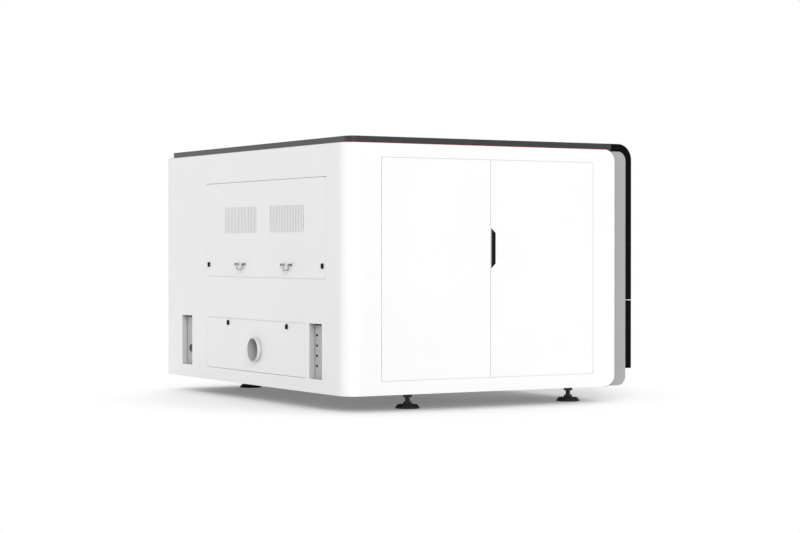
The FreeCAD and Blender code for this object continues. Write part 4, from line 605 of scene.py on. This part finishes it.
def spigot_collar():
    """Rounded collar round the mouth of the fume spigot, paler than the spigot as a painted highlight on its
    rim.
    """
    turns = [math.pi / 2 * i / COLLAR_STEPS for i in range(COLLAR_STEPS + 1)]
    rounded = [(COLLAR_R - COLLAR_ROUND * (1 - math.cos(t)), COLLAR_ROUND * (math.sin(t) - 1)) for t in turns]
    outer = list(reversed(rounded)) + [(r, -COLLAR_L - d) for r, d in rounded]
    work = bmesh.new()
    turned(work, [(COLLAR_BORE_R, 0), *outer, (COLLAR_BORE_R, -COLLAR_L), (COLLAR_BORE_R, 0)],
           face_middle("exhaust_spigot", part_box("exhaust_spigot")[1].y), REAR, sides=96)
    # the collar takes a paler finish than the galvanised spigot: a painted highlight on the rim
    finished("spigot_collar", work, "liner_white", body="lower_cover")


# Accent line
SIDE_CORNER = 78 * MM        # lower front corner of the white sides
ACCENT_IN = 1 * MM
ACCENT_W = 8 * MM
ACCENT_STEPS = 16


def accent_corners():
    """Lower ends of the red line, round the front corners of the white sides."""
    low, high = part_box("left_side_shell")
    line_low, line_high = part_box("accent_trim")
    outside = SIDE_CORNER + (line_high.z - high.z)
    centre_y, centre_z = low.y + SIDE_CORNER, low.z + SIDE_CORNER
    start = math.asin((centre_z - line_low.z) / SIDE_CORNER)
    for side, name in ((-1, "accent_corner_left"), (1, "accent_corner_right")):
        outer = side * (-low.x - ACCENT_IN)
        inner = outer - side * ACCENT_W
        section = ((outer, SIDE_CORNER), (outer, outside), (inner, outside), (inner, SIDE_CORNER))
        work = bmesh.new()
        rings = []
        for i in range(ACCENT_STEPS + 1):
            t = start + (math.pi / 2 - start) * i / ACCENT_STEPS
            rings.append([work.verts.new((x, centre_y - r * math.cos(t), centre_z - r * math.sin(t)))
                          for x, r in section])
        tube(work, rings)
        finished(name, work, "accent_red")


# Feet
BOSS_R = 30 * MM
BOSS_LOW = 73 * MM           # underside of the collar on each stud
BOSS_EDGE = 2.5 * MM
THREAD_PITCH = 2.5 * MM
THREAD_DEEP = 0.7 * MM
THREAD_SHARP = 80            # degrees, as SHARP_ABOVE
STUD_R = 15 * MM
FLANGE_R = 29.5 * MM
NUT_H = 17 * MM


def foot_places():
    """Plan centres of the four feet."""
    low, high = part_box("foot_bolts")
    return [(x, y) for x in (low.x + FLANGE_R, high.x - FLANGE_R)
            for y in (low.y + FLANGE_R, high.y - FLANGE_R)]


def foot_collars():
    """Collars under the frame, where the feet's studs go in, and the studs' threads."""
    collars, threads = bmesh.new(), bmesh.new()
    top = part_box("foot_bolts")[1].z
    nut_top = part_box("foot_pads")[1].z + NUT_H
    for x, y in foot_places():
        turned(collars, [(STUD_R, 0), (BOSS_R - BOSS_EDGE, 0), (BOSS_R, BOSS_EDGE), (BOSS_R, top - BOSS_LOW),
                         (STUD_R, top - BOSS_LOW)], (x, y, BOSS_LOW), UP, sides=48)
        steps = int((BOSS_LOW - nut_top) / THREAD_PITCH)
        profile = []
        for i in range(steps):
            profile += [(STUD_R, i * THREAD_PITCH), (STUD_R + THREAD_DEEP, (i + 0.5) * THREAD_PITCH)]
        turned(threads, [*profile, (STUD_R, steps * THREAD_PITCH)], (x, y, nut_top), UP, sides=32)
    finished("foot_collars", collars, "foot_black", "device_black")
    finished("stud_threads", threads, "zinc_steel", "device_black", crease=THREAD_SHARP)


# Hood and console. Lips are outward and proud in mm, turned shapes are radius and height in mm
GLASS_LAP = 11.5 * MM        # glass beyond its opening
WINDOW_CORNER = 40 * MM
GASKET = ((-6, -3.6), (-6, 1.2), (-4.5, 2.4), (4.5, 2.4), (6, 1.2), (6, 0.05), (0.05, 0.05), (0.05, -3.6))
BEZEL = ((0.4, 0.05), (0.4, 1.4), (1.4, 2.2), (7.5, 2.2), (9, 1.2), (9, 0.05))
SCREEN_EDGE = 10 * MM        # display housing beyond the glass
SCREEN_CORNER = 8 * MM
LAYER_T = 0.15 * MM
FIELD_UP, TILE_UP = 0.2 * MM, 0.4 * MM
SCREEN_FIELD = ((14, 14, 366, 286),)     # left, bottom, right and top from the lower left corner in mm
SCREEN_TILES = ((14, 260, 366, 286), *((312, v, 356, v + 34) for v in range(62, 240, 44)),
                *((u, 22, u + 46, 44) for u in range(24, 340, 56)))
PLOT_LINE = ((-0.7, 0), (-0.7, 0.15), (0.7, 0.15), (0.7, 0))
PLOT_PLACE = (-26 * MM, -0.25 * MM, 6 * MM)
PLOT_HALF = (132 * MM, 88 * MM)
PLOT_CORNER = 2 * MM
PLOT_COLS = 4
PLOT_STEP = (62 * MM, 54 * MM)
PART_HALF = (24 * MM, 20 * MM)
PART_CORNERS = (4 * MM, 9 * MM, 14 * MM)     # in the lower, middle and upper row
HOLE_HALF = (9 * MM, 9 * MM)
HOLE_CORNER = 8.9 * MM
ESTOP_RING = ((12, 0), (30, 0), (30, 1.5), (28, 3), (13, 3), (12, 2), (12, 0))
BUTTON_BEZEL = ((12.6, 0), (17.5, 0), (17.5, 1.2), (15.5, 3), (13.4, 3), (12.6, 2.2), (12.6, 0))
FRONT_RIGHT = (1, 0, 0)      # to the right, seen from in front
REAR_RIGHT = (-1, 0, 0)      # to the right, seen from behind


def window_gasket():
    """Rubber lip round the hood's window."""
    work = bmesh.new()
    lip(work, face_middle("hood_window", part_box("hood_shell")[0].y), FRONT_RIGHT,
        face_half("hood_window", GLASS_LAP), WINDOW_CORNER, in_mm(GASKET))
    finished("window_gasket", work, "black_plastic", "rubber", body="hood")


def screen_layer(name, paint, tiles, level):
    """Thin fields that lie on the display at a level."""
    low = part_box("control_screen")[0]
    left, bottom = low.x + SCREEN_EDGE, low.z + SCREEN_EDGE
    work = bmesh.new()
    for u0, v0, u1, v1 in tiles:
        slab(work, (left + u0 * MM, low.y - level, bottom + v0 * MM),
             (left + u1 * MM, low.y - (level - LAYER_T), bottom + v1 * MM))
    finished(name, work, "screen_glass", paint)


def console_display():
    """Bezel round the display, and plain fields and shapes on it."""
    centre = face_middle("control_screen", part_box("control_screen")[0].y)
    work = bmesh.new()
    lip(work, centre, FRONT_RIGHT, face_half("control_screen", SCREEN_EDGE), SCREEN_CORNER, in_mm(BEZEL))
    finished("screen_bezel", work, "black_plastic", "device_black")
    screen_layer("screen_ground", "screen_field", SCREEN_FIELD, FIELD_UP)
    screen_layer("screen_tiles", "screen_tile", SCREEN_TILES, TILE_UP)
    work = bmesh.new()
    line = in_mm(PLOT_LINE)
    plot = centre + Vector(PLOT_PLACE)
    lip(work, plot, FRONT_RIGHT, PLOT_HALF, PLOT_CORNER, line)
    for col in range(PLOT_COLS):
        for row, corner in enumerate(PART_CORNERS):
            place = plot + Vector(((col - (PLOT_COLS - 1) / 2) * PLOT_STEP[0], 0, (row - 1) * PLOT_STEP[1]))
            lip(work, place, FRONT_RIGHT, PART_HALF, corner, line)
            lip(work, place, FRONT_RIGHT, HOLE_HALF, HOLE_CORNER, line)
    finished("screen_plot", work, "screen_glass", "screen_line")


def button_rings():
    """Ring under the stop button and metal bezels round the two small buttons."""
    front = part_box("console_fascia")[0].y
    work = bmesh.new()
    turned(work, in_mm(ESTOP_RING), face_middle("estop_button", front), FRONT, sides=48)
    finished("estop_ring", work, "black_plastic", "safety_yellow")
    work = bmesh.new()
    for button in ("start_button", "stop_button"):
        turned(work, in_mm(BUTTON_BEZEL), face_middle(button, front), FRONT, sides=40)
    finished("button_bezels", work, "zinc_steel")


# Cooling unit. Lips, turned shapes and blocks are in mm
FAN_WELL_R = 112 * MM
GUARD_WIRE = 1.5 * MM
GUARD_STEP = 16 * MM
GUARD_OUT = 3.2 * MM         # wires' middle in front of the face
GUARD_HUB = ((0, -1), (17, -1), (17, 1), (0, 2))
GUARD_TAB = ((0, 0), (8, 0), (8, 2), (0, 2))
TAB_T = 2 * MM
SPOKES = 4
SPOKE_PAST = 8 * MM          # past the well's edge
TAB_PAST = 12 * MM
GUARD_SCREW_R = 4 * MM
PANEL_Z = 1010 * MM          # middle of the intake and the control panel
INTAKE_IN = 300 * MM         # places from the unit's ends
PANEL_IN = 210 * MM
CAP_IN = 220 * MM
INTAKE_HALF = (210 * MM, 66 * MM)
INTAKE_CORNER = 8 * MM
INTAKE_LIP = ((0, 0), (0, 5), (2, 7), (14, 7), (16, 5), (16, 0))
INTAKE_SCREW = (8 * MM, 7 * MM, 3.2 * MM)    # past the opening, out of the face, and radius
LOUVRES = 9
LOUVRE = ((0, 5), (0, 3.6), (6, -5), (6, -3.6))      # section: out of the face, and up
PANEL_HALF = (62 * MM, 44 * MM)
PANEL_CORNER = 6 * MM
PANEL_LIP = ((-4, 0), (-4, 2), (-2.5, 4), (0, 2.5), (0, 0))
PANEL_PLATE = ((-60, 0, -42), (60, 1.6, 42))
PANEL_DISPLAY = ((-6, 1.7, -6), (50, 2.4, 32))
PANEL_KEY = ((6, 0), (6, 2), (5, 3), (0, 3))
KEY_PLACES = ((42 * MM, 1.6 * MM, -24 * MM), (20 * MM, 1.6 * MM, -24 * MM), (-2 * MM, 1.6 * MM, -24 * MM))
SIGHT_PLACE = (130 * MM, 12 * MM, 0)     # from the panel's middle
SIGHT_HALF = 56 * MM
SIGHT_R = 6 * MM
SIGHT_END = ((0, 0), (9, 0), (9, 12), (7, 14), (0, 14))
SIGHT_FOOT = 63 * MM
SIGHT_BRACKET = ((-7, -12, -6), (7, 0, 6))
CAP = ((46, 0), (46, 6), (34, 7), (34, 24), (31, 27), (0, 27))
CAP_RIDGES = 24
CAP_GRIP_R = 34 * MM
RIDGE_R = 1.6 * MM
RIDGE_LOW, RIDGE_HIGH = 8 * MM, 23 * MM


def chiller_face():
    """Guards over the fans, the air intake, the control panel and the filler cap."""
    low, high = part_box("chiller")
    for fan in ("fan_left", "fan_right"):
        fan_guard(fan + "_guard", face_middle(fan, high.y))
    chiller_intake(Vector((low.x + INTAKE_IN, high.y, PANEL_Z)))
    chiller_controls(Vector((high.x - PANEL_IN, high.y, PANEL_Z)))
    filler_cap(Vector((low.x + CAP_IN, (low.y + high.y) / 2, high.z)))


def fan_guard(name, centre):
    """Wire guard: rings on four spokes, with a middle disc and four screwed tabs."""
    work = bmesh.new()
    middle = centre + Vector((0, GUARD_OUT, 0))
    behind = Vector((0, GUARD_WIRE, 0))
    radius = FAN_WELL_R
    while radius > GUARD_STEP:
        hoop(work, middle, REAR, radius, GUARD_WIRE, sides=56, steps=6)
        radius -= GUARD_STEP
    seats = []
    for i in range(SPOKES):
        t = 2 * math.pi * (i + 0.5) / SPOKES
        out = Vector((math.cos(t), 0, math.sin(t)))
        tab = centre + out * (FAN_WELL_R + TAB_PAST)
        bar(work, middle - behind, middle + out * (FAN_WELL_R + SPOKE_PAST) - behind, GUARD_WIRE, sides=8)
        turned(work, in_mm(GUARD_TAB), tab, REAR, sides=20)
        seats.append(tab + Vector((0, TAB_T, 0)))
    turned(work, in_mm(GUARD_HUB), middle, REAR, sides=32)
    finished(name, work, "zinc_steel")
    screws(name + "_screws", seats, REAR, GUARD_SCREW_R)


def chiller_intake(centre):
    """Framed air intake with slanting louvres."""
    half_w, half_h = INTAKE_HALF
    work = bmesh.new()
    lip(work, centre, REAR_RIGHT, INTAKE_HALF, INTAKE_CORNER, in_mm(INTAKE_LIP))
    for z in spread(LOUVRES, half_h):
        tube(work, [[work.verts.new(centre + Vector((x, out, z + up))) for out, up in in_mm(LOUVRE)]
                    for x in (-half_w, half_w)])
    finished("chiller_intake", work, "device_grey", "louvre_grey")
    past, out, radius = INTAKE_SCREW
    corners = [centre + Vector((x * (half_w + past), out, z * (half_h + past)))
               for x in (-1, 1) for z in (-1, 1)]
    screws("intake_screws", corners, REAR, radius)


def chiller_controls(centre):
    """Small control panel with a display and three keys, and a sight tube beside it."""
    work = bmesh.new()
    lip(work, centre, REAR_RIGHT, PANEL_HALF, PANEL_CORNER, in_mm(PANEL_LIP))
    block(work, centre, *PANEL_PLATE)
    finished("chiller_panel", work, "device_black", bevel=FINE_ROUND)
    work = bmesh.new()
    block(work, centre, *PANEL_DISPLAY)
    finished("chiller_display", work, "screen_glass", bevel=FINE_ROUND)
    work = bmesh.new()
    for place in KEY_PLACES:
        turned(work, in_mm(PANEL_KEY), centre + Vector(place), REAR, sides=24)
    finished("chiller_keys", work, "device_grey")
    sight_tube(centre + Vector(SIGHT_PLACE))


def sight_tube(centre):
    """Upright glass tube between two bracketed ends."""
    work = bmesh.new()
    for end in (-1, 1):
        turned(work, in_mm(SIGHT_END), centre + Vector((0, 0, end * SIGHT_HALF)), (0, 0, end), sides=24)
        block(work, centre + Vector((0, 0, end * SIGHT_FOOT)), *SIGHT_BRACKET)
    finished("sight_tube_ends", work, "zinc_steel", bevel=FINE_ROUND)
    work = bmesh.new()
    reach = Vector((0, 0, SIGHT_HALF))
    bar(work, centre - reach, centre + reach, SIGHT_R, sides=24)
    finished("sight_tube", work, "screen_glass", "sight_glass")


def filler_cap(centre):
    """Ridged cap on top of the cooling unit."""
    work = bmesh.new()
    turned(work, in_mm(CAP), centre, UP, sides=48)
    for i in range(CAP_RIDGES):
        t = 2 * math.pi * i / CAP_RIDGES
        edge = centre + Vector((math.cos(t), math.sin(t), 0)) * CAP_GRIP_R
        bar(work, edge + Vector((0, 0, RIDGE_LOW)), edge + Vector((0, 0, RIDGE_HIGH)), RIDGE_R, sides=8)
    finished("filler_cap", work, "black_plastic", "device_black")


# Electrical cabinet behind the side doors
LEFT_RIGHT = (0, -1, 0)      # to the right, seen from the left side
CARRIERS = (60 * MM, 1320 * MM)  # ducts and rails, before and past the drives' rear edge
LOWER_DUCT = 55 * MM         # below the drives
UPPER_DUCT = 45 * MM         # above the drives
UPPER_RAIL = 170 * MM        # above the drives
LOWER_RAIL_IN = 30 * MM      # past the drives' front edge
DUCT_HALF = 20 * MM
DUCT_REACH = 58 * MM
DUCT_T = 2 * MM
LID_LAP = 1 * MM
FINGER = 7 * MM
FINGER_T = 1.5 * MM
FINGER_PITCH = 12.5 * MM
FINGER_START = 2 * MM        # first finger from the duct's end
RAIL_T = 1.2 * MM
RAIL_REACH = 7.5 * MM
RAIL_WEB = 12 * MM           # half width over the webs, and over the flanges
RAIL_EDGE = 17.5 * MM
MODULES_IN = 40 * MM         # upper row's first end before the drives' rear edge
# Pieces on the rails: name, slot, material, bevel, and rows of equal blocks, in mm. A row has its rail, its
# shift above the rail, first place, pitch, count, width, half height, and start and reach from the plate
CABINET = (
    ("breakers", "device_grey", "module_white", 0.8,
     (("upper", 0, 0, 18, 12, 17.5, 42, 8, 46),
      ("upper", 0, 0, 18, 12, 17.5, 22, 46, 66))),
    ("power_supplies", "device_grey", "louvre_grey", 1,
     (("upper", 0, 250, 130, 2, 110, 62, 8, 100),
      ("upper", 0, 262, 10, 9, 4, 40, 100, 102),
      ("upper", 0, 392, 10, 9, 4, 40, 100, 102))),
    ("control_boxes", "device_black", "device_black", 1,
     (("upper", 0, 530, 0, 1, 230, 70, 8, 52),
      ("upper", 0, 570, 0, 1, 150, 34, 52, 60),
      ("lower", 0, 60, 56, 4, 46, 42, 8, 58),
      ("lower", 0, 60, 56, 4, 46, 26, 58, 88))),
    ("relays_and_levers", "device_black", "device_black", 0.6,
     (("upper", 3, 4, 18, 12, 9.5, 6, 66, 75),
      ("lower", 0, 74, 56, 4, 18, 8, 88, 92),
      ("upper", 0, 800, 24, 14, 21, 38, 8, 48))),
    ("terminal_strips", "device_grey", "terminal_green", 0.5,
     (("upper", -52, 536, 10, 22, 8.5, 12, 52, 64),
      ("upper", 52, 536, 10, 22, 8.5, 12, 52, 64),
      ("upper", 0, 803, 24, 14, 15, 14, 48, 62),
      ("lower", 0, 320, 8, 46, 7, 24, 8, 42))),
)


def on_plate(work, y0, y1, z0, z1, reach, start=0.0):
    """Adds a block on the cabinet's mounting plate, between two distances from it."""
    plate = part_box("servo_drives")[1].x
    slab(work, (plate - reach, y1, z0), (plate - start, y0, z1))


def wiring_duct(work, y0, y1, z):
    """Adds a slotted wiring duct with its lid."""
    on_plate(work, y0, y1, z - DUCT_HALF, z + DUCT_HALF, DUCT_T)
    for i in range(int((y0 - y1) / FINGER_PITCH)):
        y = y0 - FINGER_START - i * FINGER_PITCH
        for foot in (z - DUCT_HALF, z + DUCT_HALF - FINGER_T):
            on_plate(work, y, y - FINGER, foot, foot + FINGER_T, DUCT_REACH, DUCT_T)
    half = DUCT_HALF + LID_LAP
    on_plate(work, y0, y1, z - half, z + half, DUCT_REACH + DUCT_T, DUCT_REACH)


def mounting_rail(work, y0, y1, z):
    """Adds a top-hat mounting rail."""
    on_plate(work, y0, y1, z - RAIL_WEB, z + RAIL_WEB, RAIL_T)
    for side in (-1, 1):
        web, edge = z + side * RAIL_WEB, z + side * RAIL_EDGE
        on_plate(work, y0, y1, *sorted((web, web - side * RAIL_T)), RAIL_REACH)
        on_plate(work, y0, y1, *sorted((web, edge)), RAIL_REACH, RAIL_REACH - RAIL_T)


def cabinet_carriers():
    """Ducts and rails on the mounting plate."""
    low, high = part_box("servo_drives")
    y0, y1 = high.y + CARRIERS[0], high.y - CARRIERS[1]
    work = bmesh.new()
    wiring_duct(work, y0, y1, low.z - LOWER_DUCT)
    wiring_duct(work, y0, y1, high.z + UPPER_DUCT)
    finished("wiring_ducts", work, "device_grey", bevel=FINE_ROUND)
    work = bmesh.new()
    mounting_rail(work, y0, y1, high.z + UPPER_RAIL)
    mounting_rail(work, low.y - LOWER_RAIL_IN, y1, (low.z + high.z) / 2)
    finished("mounting_rails", work, "zinc_steel")


def cabinet_modules():
    """Breakers, power supplies, control boxes, relays and terminals on the rails."""
    low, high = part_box("servo_drives")
    rails = {"upper": (high.y + MODULES_IN, high.z + UPPER_RAIL), "lower": (low.y, (low.z + high.z) / 2)}
    for name, slot, paint, bevel, rows in CABINET:
        work = bmesh.new()
        for rail, up, first, pitch, count, width, half, start, reach in rows:
            y, z = rails[rail]
            for i in range(count):
                near = y - (first + pitch * i) * MM
                on_plate(work, near, near - width * MM, z + (up - half) * MM, z + (up + half) * MM,
                         reach * MM, start * MM)
        finished(name, work, slot, paint, bevel=bevel * MM)


# Servo drives. Blocks are in mm from the cover's upper or lower left corner
DRIVES = 4
DRIVE_W = 95 * MM
COVER_T = 3 * MM
COVER_IN = (8 * MM, 14 * MM)     # cover from the drive's sides and ends
DRIVE_DISPLAY = ((-1, -68, -62), (0, -27, -34))
DRIVE_KEY = ((3.6, 0), (3.6, 2), (0, 2))
DRIVE_KEYS = ((-30, -76), (-41, -76), (-52, -76), (-63, -76))    # across and up
SOCKET = ((-7, -74, -9), (0, -21, 9))
SOCKETS_DOWN = (112, 146, 180)
TERMINAL = ((-9, -7.5, 22), (0, 0, 40))
TERMINALS = (17, 26, 35, 44, 53, 62, 71)
DRIVE_ROUNDS = (1 * MM, 0.6 * MM, 0.5 * MM)      # of the covers, connectors and terminals


def drive_faces():
    """Covers, displays, keys and connectors on the servo drives."""
    low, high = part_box("servo_drives")
    pitch = (high.y - low.y - DRIVE_W) / (DRIVES - 1)
    face = low.x - COVER_T
    dark, pale, green = bmesh.new(), bmesh.new(), bmesh.new()
    for i in range(DRIVES):
        left = high.y - i * pitch
        slab(pale, (face, left - DRIVE_W + COVER_IN[0], low.z + COVER_IN[1]),
             (low.x, left - COVER_IN[0], high.z - COVER_IN[1]))
        block(dark, (face, left, high.z), *DRIVE_DISPLAY)
        for across, up in in_mm(DRIVE_KEYS):
            turned(dark, in_mm(DRIVE_KEY), (face, left + across, high.z + up), LEFT, sides=16)
        for down in SOCKETS_DOWN:
            block(dark, (face, left, high.z - down * MM), *SOCKET)
        for across in TERMINALS:
            block(green, (face, left - across * MM, low.z), *TERMINAL)
    cover, connector, terminal = DRIVE_ROUNDS
    finished("drive_covers", pale, "device_grey", "module_white", bevel=cover)
    finished("drive_connectors", dark, "device_black", bevel=connector)
    finished("drive_terminals", green, "device_grey", "terminal_green", bevel=terminal)


# Laser source
SOURCE_GRIP = 36 * MM        # handles in front of the laser source's face
GRILLE_UP = 20 * MM
GRILLE_HALF = (150 * MM, 70 * MM)
GRILLE_CORNER = 8 * MM
GRILLE_LIP = ((0, 0), (0, 3), (1, 4), (9, 4), (10, 3), (10, 0))
GRILLE_BARS = 24
GRILLE_BAR = (3 * MM, 2 * MM)    # out of the face, and half width
STATUS_LAMP = ((6, 0), (6, 2), (4, 4.5), (0, 5.5))
STATUS_LAMPS = (("source_lamp_power", "button_green", 70 * MM), ("source_lamp_fault", "button_red", 96 * MM))
STATUS_UP = 44 * MM
SOURCE_SCREW_IN = 14 * MM
SOURCE_SCREW_R = 4 * MM


def source_front():
    """Vent grille, status lamps and cover screws of the laser source."""
    low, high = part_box("laser_source")
    face = low.x + SOURCE_GRIP
    centre = Vector((face, (low.y + high.y) / 2, (low.z + high.z) / 2 + GRILLE_UP))
    half_w, half_h = GRILLE_HALF
    out, bar_half = GRILLE_BAR
    work = bmesh.new()
    lip(work, centre, LEFT_RIGHT, GRILLE_HALF, GRILLE_CORNER, in_mm(GRILLE_LIP))
    for across in spread(GRILLE_BARS, half_w):
        y = centre.y + across
        slab(work, (face - out, y - bar_half, centre.z - half_h), (face, y + bar_half, centre.z + half_h))
    finished("source_grille", work, "device_grey", "louvre_grey", bevel=FINE_ROUND)
    for name, paint, across in STATUS_LAMPS:
        work = bmesh.new()
        turned(work, in_mm(STATUS_LAMP), (face, low.y + across, low.z + STATUS_UP), LEFT, sides=24)
        finished(name, work, paint)
    corners = [(face, y, z) for y in (low.y + SOURCE_SCREW_IN, high.y - SOURCE_SCREW_IN)
               for z in (low.z + SOURCE_SCREW_IN, high.z - SOURCE_SCREW_IN)]
    screws("source_screws", corners, LEFT, SOURCE_SCREW_R)


# Drives of the gantry and the carriage
TOOTH = 6.28 * MM            # pitch of the racks' teeth
TOOTH_H = 4.5 * MM
TOOTH_SHAPE = ((0, 0), (0.28, 1), (0.5, 1), (0.78, 0))   # shares of the pitch and the height
TOOTH_SHARP = 20             # degrees, as SHARP_ABOVE
RACK_T = 16 * MM
RACK_BODY = 14 * MM
RACK_DOWN = 12 * MM          # gantry's racks below its rails
RACK_BACK = 22 * MM          # carriage's rack behind its bearing blocks
PINION_R = 22 * MM
PINION_TEETH = 22
MOTOR_SHAPE = ((0, 0.3, 0.94), (0.3, 0.36, 1.0), (0.36, 0.86, 0.9), (0.86, 1.0, 0.78))   # from, to, width
MOTOR_ROUND = 1.2 * MM
Y_MOTOR = 60 * MM
Y_MOTOR_L = 170 * MM
Y_SHAFT_R = 9 * MM
Y_FLANGE = (45 * MM, 10 * MM)    # half length and thickness of the plate under each gantry motor
X_MOTOR = 56 * MM
X_MOTOR_L = 120 * MM
X_MOTOR_PLACE = (2 * MM, 4 * MM)     # behind the rack, and above the pinion's middle
X_SHAFT_R = 8 * MM


def toothed(work, start, along, up, across, length):
    """Adds a straight rack from one corner: a bar with trapezoid teeth on its upper face."""
    start, along, up, across = Vector(start), Vector(along), Vector(up), Vector(across)
    outline = [(0, 0)]
    for i in range(int(length / TOOTH)):
        outline += [((i + share) * TOOTH, RACK_BODY + height * TOOTH_H) for share, height in TOOTH_SHAPE]
    outline += [(length, RACK_BODY), (length, 0)]
    tube(work, [[work.verts.new(start + along * a + up * b + across * c) for a, b in outline]
                for c in (0, RACK_T)])


def pinion(work, centre, axis, width):
    """Adds a toothed pinion, centred across its width."""
    turn = Vector(UP).rotation_difference(Vector(axis))
    outline = []
    for i in range(PINION_TEETH):
        for share, height in TOOTH_SHAPE:
            t = 2 * math.pi * (i + share) / PINION_TEETH
            radius = PINION_R - TOOTH_H * (1 - height)
            outline.append((radius * math.cos(t), radius * math.sin(t)))
    tube(work, [[work.verts.new(Vector(centre) + turn @ Vector((a, b, place))) for a, b in outline]
                for place in (-width / 2, width / 2)])


def motor(work, centre, axis, size, length):
    """Adds a square servo motor that stands on a face: gearbox, flange, body and encoder cap."""
    axis = Vector(axis)
    side = Vector(REAR) if axis.z else Vector(UP)
    other = axis.cross(side)
    for start, end, share in MOTOR_SHAPE:
        reach = size * share / 2
        corners = [Vector(centre) + axis * (length * place) + side * (reach * a) + other * (reach * b)
                   for place in (start, end) for a, b in ((-1, -1), (1, 1))]
        spans = list(zip(*corners))
        slab(work, [min(span) for span in spans], [max(span) for span in spans])


def gantry_drive():
    """Racks on the bed, and a motor with its pinion at each end of the gantry."""
    rails_low, rails_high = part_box("y_rails")
    gantry_low, gantry_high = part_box("gantry_beam")
    top = rails_low.z - RACK_DOWN
    y = (gantry_low.y + gantry_high.y) / 2
    half, thick = Y_FLANGE
    racks, motors, pinions = bmesh.new(), bmesh.new(), bmesh.new()
    for side in (-1, 1):
        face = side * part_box("bed_frame")[1].x
        toothed(racks, (face, rails_low.y, top - RACK_T), REAR, (side, 0, 0), UP, rails_high.y - rails_low.y)
        x = face + side * (RACK_BODY + PINION_R)
        pinion(pinions, (x, y, top - RACK_T / 2), UP, RACK_T)
        bar(pinions, (x, y, top), (x, y, gantry_low.z), Y_SHAFT_R)
        slab(motors, (x - Y_MOTOR / 2, y - half, gantry_low.z - thick),
             (x + Y_MOTOR / 2, y + half, gantry_low.z))
        motor(motors, (x, y, gantry_low.z), UP, Y_MOTOR, Y_MOTOR_L)
    finished("y_racks", racks, "rail_steel", crease=TOOTH_SHARP)
    finished("y_pinions", pinions, "rail_steel", body="gantry", crease=TOOTH_SHARP)
    finished("y_motors", motors, "head_dark", "device_black", body="gantry", bevel=MOTOR_ROUND)


def carriage_drive():
    """Rack along the top of the beam, and the carriage's motor with its pinion."""
    beam_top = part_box("gantry_beam")[1].z
    rail_low, rail_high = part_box("x_rails")
    racks, motors, pinions = bmesh.new(), bmesh.new(), bmesh.new()
    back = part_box("x_blocks")[1].y + RACK_BACK
    toothed(racks, (rail_low.x, back, beam_top), (1, 0, 0), UP, REAR, rail_high.x - rail_low.x)
    z = beam_top + RACK_BODY + PINION_R
    pinion(pinions, (0, back + RACK_T / 2, z), REAR, RACK_T)
    bar(pinions, (0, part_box("x_carriage")[1].y, z), (0, back, z), X_SHAFT_R)
    finished("x_rack", racks, "rail_steel", body="gantry", crease=TOOTH_SHARP)
    behind, above = X_MOTOR_PLACE
    motor(motors, (0, back + RACK_T + behind, z + above), REAR, X_MOTOR, X_MOTOR_L)
    finished("x_motor", motors, "head_dark", "device_black", body="carriage", bevel=MOTOR_ROUND)
    finished("x_pinion", pinions, "rail_steel", body="carriage", crease=TOOTH_SHARP)


# Scene
bpy.context.scene.view_settings.view_transform = "Standard"
camera()
world()
lamps()
floor()
paint_nodes()
for node in NODES:
    refined(node)
gap_seals()
spigot_collar()
accent_corners()
foot_collars()
window_gasket()
console_display()
button_rings()
chiller_face()
cabinet_carriers()
cabinet_modules()
drive_faces()
source_front()
gantry_drive()
carriage_drive()
